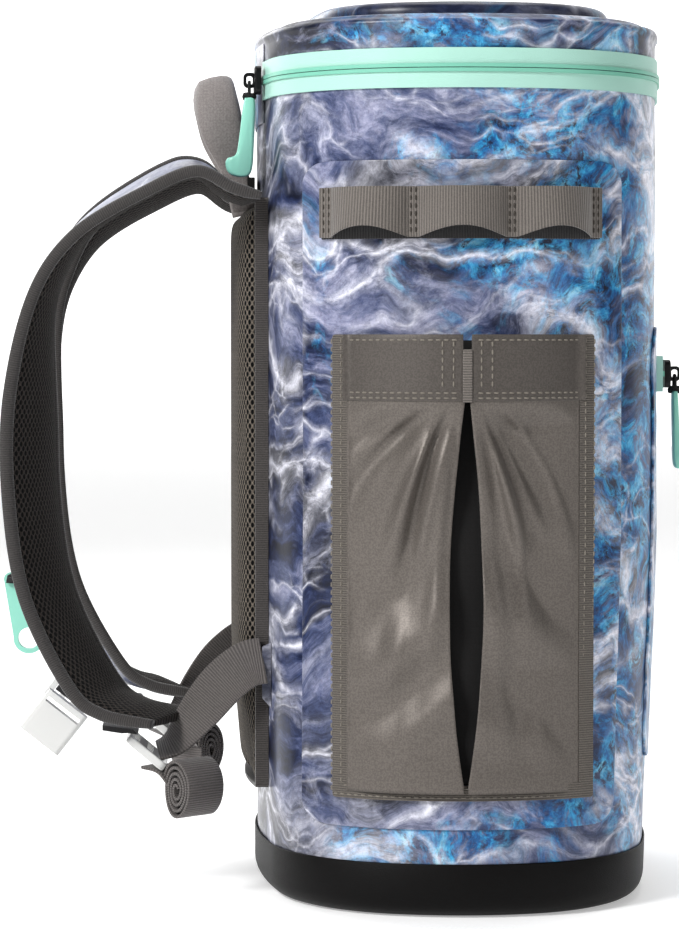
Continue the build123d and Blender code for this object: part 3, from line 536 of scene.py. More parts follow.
FOAM = cloth("liner_cloth", "liner_foam", srgb(150, 152, 156), shine=0.7)
PAD_MESH = air_mesh("pad_mesh", "air_mesh", srgb(104, 96, 87))
STRAP_MESH = air_mesh("strap_mesh", "strap_mesh", srgb(58, 53, 50), by_uv=True)
BASE = moulded("base_foam", "base_moulding", srgb(7, 6, 6), 0.5, 0.5, 1500.0, Specular_IOR_Level=0.12)
BOARD = moulded("stiff_sheet", "stiffener", srgb(70, 70, 72), 0.6, 0.2)
MINT = moulded("mint_moulding", "mint_moulding", srgb(146, 214, 194), 0.32, 0.05)
TAPE = moulded("zip_tape", "zip_tape", srgb(168, 214, 200), 0.45, 0.35, 1800.0)
COIL = moulded("zip_coil", "zip_coil", srgb(120, 190, 168), 0.4, 0.2)
WHITE = moulded("white_plastic", "white_plastic", srgb(208, 208, 206), 0.25, 0.02, Coat_Weight=0.3)
METAL = moulded("black_metal", "black_metal", srgb(22, 22, 23), 0.35, 0.1, Metallic=0.4)
CORD = moulded("black_cord", "black_cord", srgb(18, 18, 18), 0.7, 0.8, 2400.0)
THREAD = moulded("thread", "grey_webbing", srgb(122, 116, 107), 0.7, 0.3, 3000.0)
DARK_THREAD = moulded("dark_thread", "dark_fabric", srgb(62, 57, 52), 0.7, 0.3, 3000.0)

CAD_MATERIALS = {
    "inner_liner": FOAM, "lid_liner": FOAM, "base_board": BOARD, "back_plate": BOARD,
    "top_zip_lower_tape": TAPE, "top_zip_upper_tape": TAPE,
    "top_zip_lower_coil": COIL, "top_zip_upper_coil": COIL,
    "front_zip_tape": TAPE, "front_zip_coil": COIL, "top_zip_slider": METAL, "front_zip_slider": METAL,
    "top_pull": MINT, "front_pull": MINT, "tool_ring": MINT, "ring_keeper": BLACK_WEB,
    "sternum_socket": WHITE, "sternum_plug": WHITE, "handle_anchor": LINING,
    "left_ladderlock": WHITE, "right_ladderlock": WHITE,
    "left_lower_tab": CROWN_SKIN, "right_lower_tab": CROWN_SKIN,
    "left_gear_loop_base": WEB_X, "right_gear_loop_base": WEB_X,
    "left_pocket_binding": BINDING, "right_pocket_binding": BINDING,
    "left_sternum_webbing": BLACK_WEB, "right_sternum_webbing": BLACK_WEB,
    "left_strap_loop": BLACK_WEB, "right_strap_loop": BLACK_WEB, "back_pad_binding": PAD_BINDING,
}
for name, material in CAD_MATERIALS.items():
    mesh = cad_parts[name].data
    mesh.materials.clear()
    mesh.materials.append(material)

# ---- camera, light and floor ---------------------------------------------------------------------------
camera_data = bpy.data.cameras.new("camera")
camera = bpy.data.objects.new("camera", camera_data)
bpy.context.scene.collection.objects.link(camera)
bpy.context.scene.camera = camera
AZIMUTH, DISTANCE, EYE = radians(-2.0), 1.80, 0.295
AIM = Vector((-0.0608, 0.0, 0.2246))
camera.location = (AIM.x + DISTANCE * sin(AZIMUTH), -DISTANCE * cos(AZIMUTH), EYE)
camera.rotation_euler = (AIM - camera.location).to_track_quat("-Z", "Y").to_euler()
camera_data.lens = 127.0
camera_data.sensor_width = 36.0
camera_data.sensor_fit = "AUTO"
camera_data.clip_end = 60


def area_light(name, place, aim, size, power, tint=(1, 1, 1)):
    data = bpy.data.lights.new(name, "AREA")
    data.shape = "RECTANGLE"
    data.size, data.size_y = size
    data.energy = power
    data.color = tint
    made = bpy.data.objects.new(name, data)
    bpy.context.scene.collection.objects.link(made)
    made.location = place
    made.rotation_euler = (Vector(aim) - Vector(place)).to_track_quat("-Z", "Y").to_euler()


area_light("key", (-1.5, -1.5, 1.5), (0, 0, 0.25), (0.6, 0.6), 56)
area_light("fill", (1.6, -1.5, 1.0), (0, 0, 0.25), (1.0, 1.2), 7)
area_light("top", (0.1, 0.3, 2.2), (0, 0, 0.2), (1.0, 1.0), 16)
area_light("back", (-1.2, 1.7, 1.1), (0, 0, 0.25), (1.0, 1.0), 15)
world = bpy.data.worlds.new("world")
bpy.context.scene.world = world
world.use_nodes = True
world.node_tree.nodes["Background"].inputs[0].default_value = (1, 1, 1, 1)
world.node_tree.nodes["Background"].inputs[1].default_value = 0.14
bpy.context.scene.view_settings.view_transform = "Standard"


def studio_plane(name, corners, glow):
    """A large pale plane with a faint glow, so that it stays plain in the picture."""
    mesh = bpy.data.meshes.new(name)
    mesh.from_pydata(corners, [], [(0, 1, 2, 3)])
    made = bpy.data.objects.new(name, mesh)
    bpy.context.scene.collection.objects.link(made)
    paper = moulded(name + "_paper", "base_moulding", (0.9, 0.9, 0.9, 1), 0.8, Emission_Color=(1, 1, 1, 1),
                    Emission_Strength=glow)
    mesh.materials.append(paper)
    return made


WIDE, FAR_OFF = 14.0, 7.0
studio_plane("floor", [(-WIDE, -WIDE, -0.0005), (WIDE, -WIDE, -0.0005), (WIDE, FAR_OFF, -0.0005),
                                (-WIDE, FAR_OFF, -0.0005)], 0.36)
studio_plane("backdrop", [(-WIDE, FAR_OFF, -0.0005), (WIDE, FAR_OFF, -0.0005), (WIDE, FAR_OFF, WIDE),
                                   (-WIDE, FAR_OFF, WIDE)], 0.95)

# ---- bag skin and base ---------------------------------------------------------------------------------
ROUND = even_turns(260)
SKIN_THICK = 0.002
skin_heights = [shell_low.z + (shell_high.z - shell_low.z) * k / 110 for k in range(111)]
slab("bag_skin", [[wall(t, z) for t in ROUND] for z in skin_heights],
     [[wall(t, z, -SKIN_THICK) for t in ROUND] for z in skin_heights], SKIN, wrap=True,
     replaces=["main_shell"])
liner_low, liner_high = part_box("inner_liner")
liner_heights = [liner_low.z + (liner_high.z - liner_low.z) * k / 30 for k in range(31)]
slab("liner_cloth", [[wall(t, z, -0.0036, False) for t in ROUND] for z in liner_heights],
     [[wall(t, z, -0.0050, False) for t in ROUND] for z in liner_heights], FOAM, wrap=True,
     replaces=["inner_liner"])


def lathe_wall(name, profile, material, **more):
    """Rings of (offset, height) round the wall, closed by a last face in the middle."""
    points = [wall(t, z, out, False) for out, z in profile for t in ROUND]
    faces = grid_faces(len(profile), len(ROUND), wrap=True)
    faces.append([(len(profile) - 1) * len(ROUND) + k for k in range(len(ROUND))])
    return add_mesh(name, points, faces, material, **more)


def arc(out, z, radius, first, last, steps=8):
    """Points of a quarter round in (offset, height), by angle in degrees."""
    angles = [radians(first + (last - first) * k / steps) for k in range(steps + 1)]
    return [(out + radius * cos(a), z + radius * sin(a)) for a in angles]


tub_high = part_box("base_tub")[1].z
PROUD, FOOT = 0.0014, 0.010
base_profile = [(0.0002, 0.012), (0.0002, tub_high - 0.0008)]
base_profile += [(0.0006, tub_high), (PROUD - 0.0003, tub_high), (PROUD, tub_high - 0.0006)]
base_profile += arc(PROUD - FOOT, FOOT, FOOT, 0, -90) + [(-0.03, 0.0), (-0.055, 0.0), (-0.078, 0.0)]
lathe_wall("base_cup", base_profile, BASE, replaces=["base_tub"])
board_low, board_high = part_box("base_board")
board_profile = [(-0.040, board_low.z), (-0.0045, board_low.z), (-0.0045, board_high.z),
                 (-0.040, board_high.z), (-0.078, board_high.z)]
lathe_wall("base_board_sheet", board_profile, BOARD, replaces=["base_board"])

# ---- lid -----------------------------------------------------------------------------------------------
lid_low, lid_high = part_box("lid_shell")
crown_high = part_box("lid_crown")[1].z
CROWN_EDGE = 0.0245
rim = lid_high.z
lid_profile = [(-SKIN_THICK, lid_low.z), (0.0, lid_low.z), (0.0, 0.4485)]
lid_profile += arc(-0.0012, 0.4528, 0.0026, -40, 60, 5) + arc(-0.0085, rim - 0.0045, 0.0045, 40, 90, 5)
lid_profile += [(-0.013, rim - 0.0004), (-0.019, rim - 0.0007), (-0.03, rim - 0.0003), (-0.06, rim),
                (-0.08, rim)]
lathe_wall("lid_skin", lid_profile, SKIN, body="lid", replaces=["lid_shell"])
crown_profile = [(-CROWN_EDGE, rim - 0.0006)] + arc(-CROWN_EDGE - 0.0052, rim + 0.0028, 0.0052, 0, 90)
crown_profile += [(-0.040, rim + 0.0091), (-0.060, crown_high - 0.0004), (-0.082, crown_high)]
lathe_wall("lid_crown_skin", crown_profile, CROWN_SKIN, body="lid", replaces=["lid_crown"])

HINGE_HALF = 0.0545
hinge_turn = asin(HINGE_HALF / END_RADIUS)
hinge_turns = [pi - hinge_turn + 2 * hinge_turn * k / 24 for k in range(25)]
hinge_heights = [0.408 + 0.042 * k / 24 for k in range(25)]
hinge = slab("hinge_cloth", [[wall(t, z, 0.0010, False) for t in hinge_turns] for z in hinge_heights],
             [[wall(t, z, 0.0003, False) for t in hinge_turns] for z in hinge_heights], SKIN,
             ride=False, replaces=["lid_hinge_strip"])
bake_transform(hinge)

# ---- welded panels -------------------------------------------------------------------------------------
def panel(name, low, high, corner, thick, material, point, steps=(60, 90), **more):
    """A thin welded patch with rounded corners over a window. point(u, z, out) puts it on the wall."""
    (u0, z0), (u1, z1) = low, high
    middle, half = (u0 + u1) / 2, (u1 - u0) / 2
    outer, inner = [], []
    for r in range(steps[1] + 1):
        t = r / steps[1]
        z = z0 + (z1 - z0) * (t - sin(2 * pi * t) / (2 * pi) * 0.8)
        short = corner - min(z - z0, z1 - z, corner)
        reach = half - corner + sqrt(max(corner**2 - short**2, 1e-8))
        us = [middle + reach * (2 * c / steps[0] - 1) for c in range(steps[0] + 1)]
        outer.append([point(u, z, thick) for u in us])
        inner.append([point(u, z, 0.0002) for u in us])
    return slab(name, outer, inner, material, crisp=0.0003, **more)


panel_low, panel_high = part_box("left_side_panel")
for word, side in SIDES:
    panel(f"{word}_panel_skin", (panel_low.x, panel_low.z), (panel_high.x, panel_high.z), 0.012, 0.0013,
          PANEL_SKIN, lambda u, z, out, side=side: on_side(u, z, out, side),
          replaces=[f"{word}_side_panel"])

front_low, front_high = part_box("front_pocket")


def on_front(y, z, out):
    """A point on the front wall."""
    turn = asin(y / END_RADIUS)
    if abs(turn) > END_TURN:
        turn = copysign(asin((abs(y) - CORNER_Y) / CORNER), y)
    return wall(turn, z, out)


FRONT_HALF = front_high.y
panel("front_pocket_skin", (-FRONT_HALF, front_low.z), (FRONT_HALF, front_high.z), 0.018, 0.0015, PANEL_SKIN,
      on_front, replaces=["front_pocket"])

# ---- gear loops ----------------------------------------------------------------------------------------
loop_low, loop_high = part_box("left_gear_loops")
TACKS = (-0.028, 0.020)
TACK = 0.0028
BULGE = 0.0105
STRIP = 0.0030  # the flat strip's face, out from the wall


def loop_form(x):
    """How far the band stands off at a place, from 0 on a tack to 1 in a bow."""
    ends = [loop_low.x + TACK, *TACKS, loop_high.x - TACK]
    for a, b in zip(ends, ends[1:]):
        if a + TACK < x < b - TACK:
            t = (x - a - TACK) / (b - a - 2 * TACK)
            return sin(pi * t) ** 0.75
    return 0.0


strip_low, strip_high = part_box("left_gear_loop_base")
for word, side in SIDES:
    xs = [strip_low.x + (strip_high.x - strip_low.x) * k / 60 for k in range(61)]
    zs = [strip_low.z - 0.0008 + (strip_high.z - strip_low.z) * j / 6 for j in range(7)]
    # The strip is black webbing, and its black also stands in for the shadow under the bows, so it is partly
    # painted shade.
    slab(f"{word}_gear_loop_strip", [[on_side(x, z, STRIP - 0.0001, side) for x in xs] for z in zs],
         [[on_side(x, z, 0.0015, side) for x in xs] for z in zs], BLACK_WEB,
         uvs=[[(x, z) for x in xs] for z in zs], replaces=[f"{word}_gear_loop_base"])
    xs = [loop_low.x + (loop_high.x - loop_low.x) * k / 170 for k in range(171)]
    outer, inner, uvs = [], [], []
    for x in xs:
        form = loop_form(x)
        lower = loop_low.z + 0.0056 * form**1.5
        zs = [lower + (loop_high.z - lower) * j / 8 for j in range(9)]
        sag = [STRIP + BULGE * form * (1.05 - 0.28 * j / 8) for j in range(9)]
        outer.append([on_side(x, z, out + 0.0016, side) for z, out in zip(zs, sag)])
        inner.append([on_side(x, z, out, side) for z, out in zip(zs, sag)])
        uvs.append([(x, z) for z in zs])
    slab(f"{word}_gear_loop_band", outer, inner, WEB, uvs=uvs, replaces=[f"{word}_gear_loops"])
    rows = []
    for x in (loop_low.x + 0.0022, loop_low.x + 0.0046, *[t + d for t in TACKS for d in (-0.0012, 0.0012)],
              loop_high.x - 0.0046, loop_high.x - 0.0022):
        zs = [loop_low.z + 0.001 + (loop_high.z - loop_low.z - 0.002) * j / 30 for j in range(31)]
        route = [on_side(x, z, STRIP + 0.0017, side) for z in zs]
        rows.append((route, [Vector((0, side, 0))] * len(route)))
    stitching(f"{word}_gear_loop_stitches", rows, DARK_THREAD, slot="grey_webbing")

# ---- tool pockets --------------------------------------------------------------------------------------
pocket_low, pocket_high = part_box("left_pocket_binding")
bow_low, bow_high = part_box("left_tool_pocket")
pocket_middle = (pocket_low.x + pocket_high.x) / 2
EDGE_HALF = (bow_high.x - bow_low.x) / 2
SEAM_Z = 0.2625
SLIT_LOW, SLIT_WIDE = 0.069, 0.0075
POCKET_FACE = bow_low.y
edge_y = on_side(pocket_middle + EDGE_HALF, 0.18, 0.0032, -1, False).y
BOW = edge_y - POCKET_FACE - 0.0004
BOW_RADIUS = (EDGE_HALF**2 + BOW**2) / (2 * BOW)


def slit(z):
    """Half of the slit's width at a height."""
    if z > SEAM_Z:
        return 0.0022
    t = (z - SLIT_LOW) / (SEAM_Z - SLIT_LOW)
    return 0.0012 + SLIT_WIDE * max(sin(pi * min(max(t, 0), 1)), 0) ** 0.9 * (1.12 - 0.3 * t)


def pocket_y(x, z, half):
    """Depth of the pocket's cloth: a bow, flatter at the foot, with soft folds that fan from the seam."""
    off = x - pocket_middle
    bow = BOW_RADIUS - sqrt(BOW_RADIUS**2 - off**2)
    full = POCKET_FACE + 0.0008 + bow
    foot = smooth((z - bow_low.z) / 0.06)
    flat = on_side(x, z, 0.0036, -1, False).y
    y = full * (0.45 + 0.55 * foot) + flat * (0.55 - 0.55 * foot)
    if z < SEAM_Z:
        t = min(abs(off) / EDGE_HALF, 1.0)
        down = min(max((SEAM_Z - z) / (SEAM_Z - bow_low.z), 0.0), 1.0)
        spread = atan2(abs(off), SEAM_Z + 0.012 - z) * (1.0 + 0.9 * down)
        field = noise.noise(Vector((spread * 3.2, down * 1.3, 4.0 + half))) * 1.1
        fan = sin(2 * pi * (2.0 * spread + field) + (0.6 if half > 0 else 2.4))
        fine = noise.noise(Vector((spread * 9.0, down * 3.0, 9.0 + half)))
        warp = noise.noise(Vector((off * 12, z * 8, 7.0 + half)))
        roll = sin(2 * pi * ((z + 0.75 * abs(off)) / 0.062 + 0.55 * warp) + (0.9 if half > 0 else 0))
        deep = 0.0088 * smooth(down / 0.10) * smooth((1 - down) / 0.2) * sin(pi * t) ** 0.7
        y += deep * (0.6 + 0.42 * fan * smooth((0.65 - down) / 0.45) + 0.4 * roll + 0.25 * fine)
        y += 0.0030 * smooth((0.3 - t) / 0.3) * sin(pi * down)
    return max(min(y, flat), POCKET_FACE + 0.0002)


def on_binding(x, z, side):
    """A point on the face of a pocket's binding."""
    return on_side(x, z, 0.0036, side, False)


def pocket_depth(off, z, half):
    """Depth of the cloth at a distance from the pocket's middle, held at its edges."""
    return pocket_y(pocket_middle + min(max(off, -EDGE_HALF), EDGE_HALF), z, half)


CLOTH_THICK = 0.0008
for word, side in SIDES:
    for tag, half in (("back", -1), ("front", 1)):
        outer, inner = [], []
        zs = [bow_low.z - 0.004 + (pocket_high.z - bow_low.z + 0.003) * r / 110 for r in range(111)]
        for z in zs:
            near, far = slit(z), EDGE_HALF + 0.0010
            offs = [half * (near + (far - near) * c / 44) for c in range(45)]
            ys = [pocket_depth(o, z, half) for o in offs]
            outer.append([Vector((pocket_middle + o, -side * y, z)) for o, y in zip(offs, ys)])
            under = [y + CLOTH_THICK for y in ys]
            inner.append([Vector((pocket_middle + o, -side * y, z)) for o, y in zip(offs, under)])
        half_cloth = slab(f"{word}_pocket_cloth_{tag}", outer, inner, POCKET, crisp=0.0,
                          replaces=[f"{word}_tool_pocket"])
        band_outer, band_inner = [], []
        for r in range(9):
            z = SEAM_Z + (pocket_high.z - SEAM_Z) * r / 8
            offs = [half * (0.0022 + (EDGE_HALF + 0.001) * c / 40) for c in range(41)]
            ys = [pocket_depth(o, z, half) - 0.0007 for o in offs]
            band_outer.append([Vector((pocket_middle + o, -side * y, z)) for o, y in zip(offs, ys)])
            under = [y + 0.0006 for y in ys]
            band_inner.append([Vector((pocket_middle + o, -side * y, z)) for o, y in zip(offs, under)])
        slab(f"{word}_pocket_band_{tag}", band_outer, band_inner, BAND, crisp=0.0002)
    lining_outer, lining_inner = [], []
    for r in range(50):
        z = bow_low.z + (pocket_high.z - bow_low.z - 0.003) * r / 49
        xs = [pocket_middle + 0.05 * (2 * c / 30 - 1) for c in range(31)]
        lining_outer.append([on_side(x, z, 0.0026, side) for x in xs])
        lining_inner.append([on_side(x, z, 0.0018, side) for x in xs])
    slab(f"{word}_pocket_lining", lining_outer, lining_inner, LINING, crisp=0.0)
    tab_route = [Vector((pocket_middle, -side * (pocket_y(pocket_middle, 0.28, 1) - 0.0009), z))
                 for z in (0.262, 0.268, 0.274, 0.280, 0.286, 0.2885)]
    ribbon(f"{word}_pocket_tab", tab_route, [Vector((1, 0, 0))] * 6, 0.0048, 0.0012, WEB)
    rows = []
    out = Vector((0, side, 0))
    for inset in (0.0018, 0.0064):
        left, right, foot = pocket_low.x + inset, pocket_high.x - inset, pocket_low.z + inset
        for x in (left, right):
            route = [on_binding(x, foot + (pocket_high.z - 0.001 - foot) * k / 80, side) for k in range(81)]
            turn = side_turn(x, side)
            rows.append((route, [Vector((cos(turn), sin(turn), 0))] * len(route)))
        route = [on_binding(left + (right - left) * k / 60, foot, side) for k in range(61)]
        rows.append((route, [out] * len(route)))
    for z in (SEAM_Z + 0.0016, SEAM_Z + 0.0042, pocket_high.z - 0.0028):
        for half in (-1, 1):
            xs = [pocket_middle + half * (0.004 + (EDGE_HALF - 0.005) * k / 40) for k in range(41)]
            route = [Vector((x, -side * (pocket_y(x, z, half) - 0.0008), z)) for x in xs]
            rows.append((route, [out] * len(route)))
    for off in (-0.0125, -0.0070, 0.0070, 0.0125):
        zs = [SEAM_Z + 0.006 + (pocket_high.z - SEAM_Z - 0.010) * k / 20 for k in range(21)]
        x = pocket_middle + off
        route = [Vector((x, -side * (pocket_y(x, z, 1) - 0.0008), z)) for z in zs]
        rows.append((route, [out] * len(route)))
    stitching(f"{word}_pocket_stitches", rows, THREAD, slot="grey_webbing")

# ---- back pad ------------------------------------------------------------------------------------------
def swell(made, voxel, pressure, cap, held):
    """Fills a closed soft form: a short cloth run under pressure, with its movement capped."""
    scene = bpy.context.scene
    remesh = made.modifiers.new("Remesh", "REMESH")
    remesh.mode = "VOXEL"
    remesh.voxel_size = voxel
    apply_modifiers(made)
    rest = [v.co.copy() for v in made.data.vertices]
    fill = made.modifiers.new("Cloth", "CLOTH")
    fill.settings.use_pressure = True
    fill.settings.uniform_pressure_force = pressure
    fill.settings.effector_weights.gravity = 0
    fill.settings.quality = 5
    for number in range(1, 21):
        scene.frame_set(number)
    apply_modifiers(made)
    scene.frame_set(1)
    for vertex, old in zip(made.data.vertices, rest):
        move = vertex.co - old
        limit = cap * held(old)
        if move.length > limit:
            vertex.co = old + move * (limit / max(move.length, 1e-9))
    for face in made.data.polygons:
        face.use_smooth = True
    rounder = made.modifiers.new("Smooth", "SUBSURF")
    rounder.levels = rounder.render_levels = 1


def apply_modifiers(made):
    """Puts the evaluated mesh in place of the object's own and clears its modifiers."""
    bpy.context.view_layer.update()
    shown = made.evaluated_get(bpy.context.evaluated_depsgraph_get())
    fresh = bpy.data.meshes.new_from_object(shown)
    made.modifiers.clear()
    made.data = fresh


pad_low, pad_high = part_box("back_pad")
PAD_OUT = 0.0116
WING_TOP = 0.138


def pad_thickness(z):
    """Full over the back, thinning to the lower wing and rounding at the top."""
    low = 0.56 + 0.44 * smooth((z - pad_low.z) / (WING_TOP - pad_low.z))
    return PAD_OUT * low * (0.72 + 0.28 * smooth((pad_high.z - z) / 0.014))


pad_turns = [pi + asin(pad_low.y / END_RADIUS) * (1 - 2 * k / 30) * 0.985 for k in range(31)]
pad_zs = [pad_low.z + 0.002 + (pad_high.z - pad_low.z - 0.004) * k / 70 for k in range(71)]
back_pad = slab(
    "back_pad_mesh", [[wall(t, z, pad_thickness(z), False) for t in pad_turns] for z in pad_zs],
    [[wall(t, z, 0.0022, False) for t in pad_turns] for z in pad_zs], PAD_MESH, crisp=0.0, ride=False)
swell(back_pad, 0.0040, 4.0, 0.0028, lambda p: smooth((-p.x - 0.1075) / 0.006))
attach(back_pad, "bag")
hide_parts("back_pad")

# ---- shoulder straps -----------------------------------------------------------------------------------
STRAP_LINE = [
    (-0.104, 0.3705), (-0.118, 0.3745), (-0.138, 0.3830), (-0.165, 0.3725), (-0.203, 0.3495),
    (-0.226, 0.3165), (-0.239, 0.2625), (-0.2395, 0.2100), (-0.231, 0.1580), (-0.208, 0.1110),
    (-0.190, 0.0960), (-0.163, 0.0905),
]
strap_low, strap_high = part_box("left_strap_binding")
NEAR, FAR = strap_low.y, strap_high.y
SHEAR = 0.023
STRAP_THICK, EDGE_THICK = 0.0098, 0.0058
strap_route = spline([Vector((x, 0, z)) for x, z in STRAP_LINE], 12)
strap_ways = tangents(strap_route)


def strap_point(k, across, deep, side):
    """A point of the strap: station, 0 to 1 across from its outer edge, and depth below its outer face."""
    way = strap_ways[k]
    inward = Vector((-way.z, 0, way.x))
    raised = smooth((strap_route[k].z - 0.330) / 0.048) * smooth((-strap_route[k].x - 0.118) / 0.03)
    spot = strap_route[k] + inward * (deep - 0.010 * across * raised)
    y = NEAR + (FAR - NEAR) * across
    shift = SHEAR * across * smooth((-spot.x - 0.108) / 0.03) * smooth((0.366 - spot.z) / 0.13)
    if side > 0:  # the right strap hangs a little further from the bag
        shift -= 0.002 * smooth((0.34 - spot.z) / 0.08) * smooth((spot.z - 0.10) / 0.06)
    return Vector((spot.x + shift, -side * y, spot.z))


def strap_section(k, size=14):
    """(across, depth, width place) round a padded section: outer face, then inner face."""
    ends = min(1.0, k / 8, (len(strap_route) - 1 - k) / 10 + 0.35)
    crown = 0.0012 * min(ends, 1)
    thick = EDGE_THICK * (0.7 + 0.3 * min(ends, 1))
    plump = (STRAP_THICK - EDGE_THICK + 0.0012) * min(ends, 1)
    ring = []
    for j in range(size + 1):
        t = j / size
        ring.append((0.045 + 0.91 * t, 0.0016 - 1.4 * crown * sin(pi * t), t))
    for j in range(size + 1):
        t = 1 - j / size
        ring.append((0.045 + 0.91 * t, thick - 0.0014 + plump * sin(pi * t) ** 0.6, t))
    return ring


along = [0.0]
for a, b in zip(strap_route, strap_route[1:]):
    along.append(along[-1] + (b - a).length)
for word, side in SIDES:
    points, uvs = [], []
    for k in range(len(strap_route)):
        for across, deep, t in strap_section(k):
            points.append(strap_point(k, across, deep, side))
            uvs.append((along[k], t * 0.060))
    size = len(points) // len(strap_route)
    pad = add_mesh(f"{word}_strap_padding", points, tube_faces(len(strap_route), size), STRAP_MESH, uvs,
                   ride=False, replaces=[f"{word}_strap_pad", f"{word}_strap_root"])
    pad.data.materials.append(PANEL_SKIN)
    for face in pad.data.polygons:
        ring_place = min(v % size for v in face.vertices)
        if len(face.vertices) == 4 and ring_place < size // 2 - 1:
            face.material_index = 1
    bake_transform(pad)
    for tag, edge in (("outer", 0.0), ("inner", 1.0)):
        points, uvs = [], []
        for k in range(len(strap_route)):
            ends = min(1.0, k / 8, (len(strap_route) - 1 - k) / 10 + 0.35)
            half = EDGE_THICK * (0.6 + 0.4 * ends) / 2 + 0.0003
            lap = 0.0045 / (FAR - NEAR)
            for j in range(12):
                a = 2 * pi * j / 12
                swing = edge + (1 - 2 * edge) * lap * (0.5 - 0.62 * cos(a))
                deep = EDGE_THICK / 2 - half * copysign(abs(sin(a)) ** 0.65, sin(a))
                points.append(strap_point(k, swing, deep, side))
                uvs.append((along[k], 0.001 * j))
        tape = add_mesh(f"{word}_strap_binding_{tag}", points, tube_faces(len(strap_route), 12),
                        STRAP_BINDING, uvs, ride=False, replaces=[f"{word}_strap_binding"],
                        slot="grey_webbing")
        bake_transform(tape)

# ---- adjusting webbing, tail and roll ------------------------------------------------------------------
lock_low, lock_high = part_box("left_ladderlock")
adjust_low, adjust_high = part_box("left_adjust_webbing")
web_y = (adjust_low.y + adjust_high.y) / 2
WEB_WIDTH = 0.0254
for word, side in SIDES:
    y = -side * web_y
    route = spline([Vector((lock_high.x - 0.005, y, lock_low.z + 0.0088)), Vector((-0.150, y, 0.0815)),
                    Vector((-0.138, y, 0.0965)), Vector((-0.125, y, 0.1120)), Vector((-0.113, y, 0.1215)),
                    Vector((-0.1035, y, 0.1240))], 8)
    across = []
    for k, way in enumerate(tangents(route)):
        face = Vector((-way.z, 0, way.x))
        turn = radians(16 + 52 * smooth(k / len(route) / 0.6))
        across.append(face * sin(turn) + Vector((0, -side, 0)) * cos(turn))
    web = ribbon(f"{word}_adjust_web", route, across, WEB_WIDTH, 0.0016, STRAP_WEB, ride=False,
                 replaces=[f"{word}_adjust_webbing"])
    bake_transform(web)

ROLL = Vector((-0.1405, -0.086, 0.058))
ROLL_TURN = radians(43)
for word, side in SIDES:
    axis = Vector((cos(ROLL_TURN), -side * sin(ROLL_TURN), 0))
    flat = Vector((-sin(ROLL_TURN), -side * cos(ROLL_TURN), 0)) * -1
    centre = Vector((ROLL.x, -side * ROLL.y, ROLL.z))
    route, turns = [], 4.4
    for k in range(150):
        a = 2 * pi * turns * k / 149 + 0.4
        r = 0.0022 + 0.0132 * k / 149
        wobble = 1 + 0.035 * sin(3 * a + 1)
        rise = Vector((0, 0, 1.03 * r * sin(a) * wobble))
        route.append(centre + flat * (0.66 * r * cos(a) * wobble) + rise)
    top = Vector((lock_high.x - 0.009, web_y * -side, lock_low.z + 0.001))
    last = route[-1]
    lead = spline([last, last.lerp(top, 0.35) + Vector((-0.002, 0, 0.003)), top], 8)[1:]
    straight = Vector((0, -side, 0))
    across = [axis] * len(route) + [axis.lerp(straight, (k + 1) / len(lead)) for k in range(len(lead))]
    ribbon(f"{word}_tail_web", route + lead, across, WEB_WIDTH * 0.97, 0.0015, STRAP_WEB, body=f"{word}_tail",
           replaces=[f"{word}_webbing_tail"], lanes=4)

# ---- grab handle ---------------------------------------------------------------------------------------
HANDLE_LEAN = radians(13)
HANDLE_HALF, HANDLE_RISE, HANDLE_BEND = 0.033, 0.058, 0.022
rise_way = Vector((-sin(HANDLE_LEAN), 0, cos(HANDLE_LEAN)))
wide_way = Vector((-cos(HANDLE_LEAN), 0, -sin(HANDLE_LEAN)))
handle_root = Vector((-0.1095, 0, 0.377)) + wide_way * 0.0135
flat_route = [(-HANDLE_HALF, -0.012 + (HANDLE_RISE - HANDLE_BEND + 0.012) * k / 10) for k in range(11)]
flat_route += [(-HANDLE_HALF + HANDLE_BEND - HANDLE_BEND * cos(pi / 2 * k / 8),
                HANDLE_RISE - HANDLE_BEND + HANDLE_BEND * sin(pi / 2 * k / 8)) for k in range(1, 9)]
flat_route += [((HANDLE_HALF - HANDLE_BEND) * (k / 4 - 1), HANDLE_RISE) for k in range(1, 5)]
flat_route += [(-y, rise) for y, rise in reversed(flat_route[:-1])]
points, uvs = [], []
for k, (y, rise) in enumerate(flat_route):
    before, after = flat_route[max(k - 1, 0)], flat_route[min(k + 1, len(flat_route) - 1)]
    way = Vector((0, after[0] - before[0], 0)) + rise_way * (after[1] - before[1])
    way.normalize()
    out = way.cross(wide_way)
    plump = smooth((rise + 0.004) / 0.03)
    wide = 0.0064 + 0.0056 * smooth(rise / 0.045)
    thick = 0.0018 + 0.0032 * plump
    lean = Vector((0.0070 - 0.0020 * smooth(rise / 0.05), 0, 0))
    for j in range(16):
        a = 2 * pi * j / 16
        c, s = cos(a), sin(a)
        drop = rise_way * (0.009 * smooth(rise / 0.05) * max(c, 0.0) ** 3)
        points.append(handle_root + lean + Vector((0, y, 0)) + rise_way * rise - drop
                      + wide_way * (wide * copysign(abs(c) ** 0.7, c))
                      + out * (thick * copysign(abs(s) ** 0.8, s)))
        uvs.append((k * 0.004, j * 0.003))
grip = add_mesh("handle_padding", points, tube_faces(len(flat_route), 16), GRIP, uvs, ride=False,
                replaces=["handle_webbing", "handle_grip"])
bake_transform(grip)

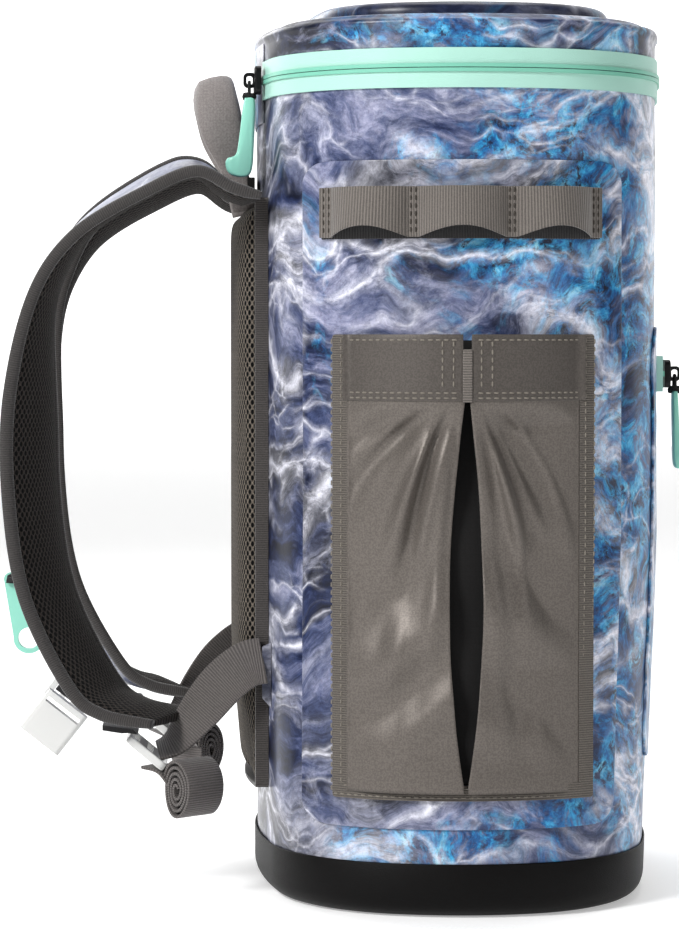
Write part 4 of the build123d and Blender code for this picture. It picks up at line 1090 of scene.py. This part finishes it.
# ---- zip pull cords ------------------------------------------------------------------------------------
for tag in ("top", "front"):
    body, node_name = f"{tag}_zip_pull", f"{tag}_pull_cord"
    low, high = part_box(node_name)
    x, y = (low.x + high.x) / 2, (low.y + high.y) / 2
    legs = [Vector((x, y + d, z)) for d, z in ((-0.0016, low.z - 0.001), (-0.0028, low.z + 0.002),
                                               (-0.0022, high.z - 0.0022), (0, high.z - 0.0009),
                                               (0.0022, high.z - 0.0022), (0.0028, low.z + 0.002),
                                               (0.0016, low.z - 0.001))]
    tube(f"{tag}_pull_loop", spline(legs, 6), 0.0009, CORD, body=body, replaces=[node_name])
    knot = [Vector((x + 0.0026 * cos(a), y + 0.0034 * sin(a), low.z + 0.0010 + 0.0011 * sin(2 * a)))
            for a in [2 * pi * k / 24 * 2 for k in range(25)]]
    tube(f"{tag}_pull_knot", knot, 0.0012, CORD, body=body)

PULL_OUTLINE = [
    (2.4, 0.2), (3.4, -4.0), (4.4, -12.0), (5.6, -22.0), (7.2, -29.5), (11.6, -31.6), (12.6, -35.0),
    (10.6, -39.4), (5.5, -41.2), (0.5, -40.4), (-1.6, -36.0), (-2.3, -26.0), (-2.9, -14.0), (-3.2, -4.0),
    (-2.2, 0.2),
]
for node_name, body, way, slim in (("top_pull", "top_zip_pull", -1, 1.0),
                                   ("front_pull", "front_zip_pull", 1, 0.45)):
    low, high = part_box(node_name)
    cord_low, cord_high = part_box(node_name + "_cord")
    x, y = (cord_low.x + cord_high.x) / 2, (low.y + high.y) / 2
    edge = spline([Vector((dx / 1000, 0, dz / 1000)) for dx, dz in PULL_OUTLINE + PULL_OUTLINE[:1]], 4)[:-1]
    heart = Vector((0.0020, 0, -0.020))
    rings = ((-0.0050, 0.62), (-0.0046, 0.86), (-0.0030, 1.0), (0.0030, 1.0), (0.0046, 0.86), (0.0050, 0.62))
    points = []
    for across, keep in rings:
        for p in edge:
            near = heart + Vector((p.x - heart.x, 0, 0)) * keep
            spot = Vector((near.x, 0, heart.z + (p.z - heart.z) * (0.93 + 0.07 * keep)))
            points.append(Vector((x + way * spot.x * slim, y + across, high.z + spot.z)))
    add_mesh(f"{node_name}_body", points, tube_faces(len(rings), len(edge)), MINT, body=body,
             replaces=[node_name])
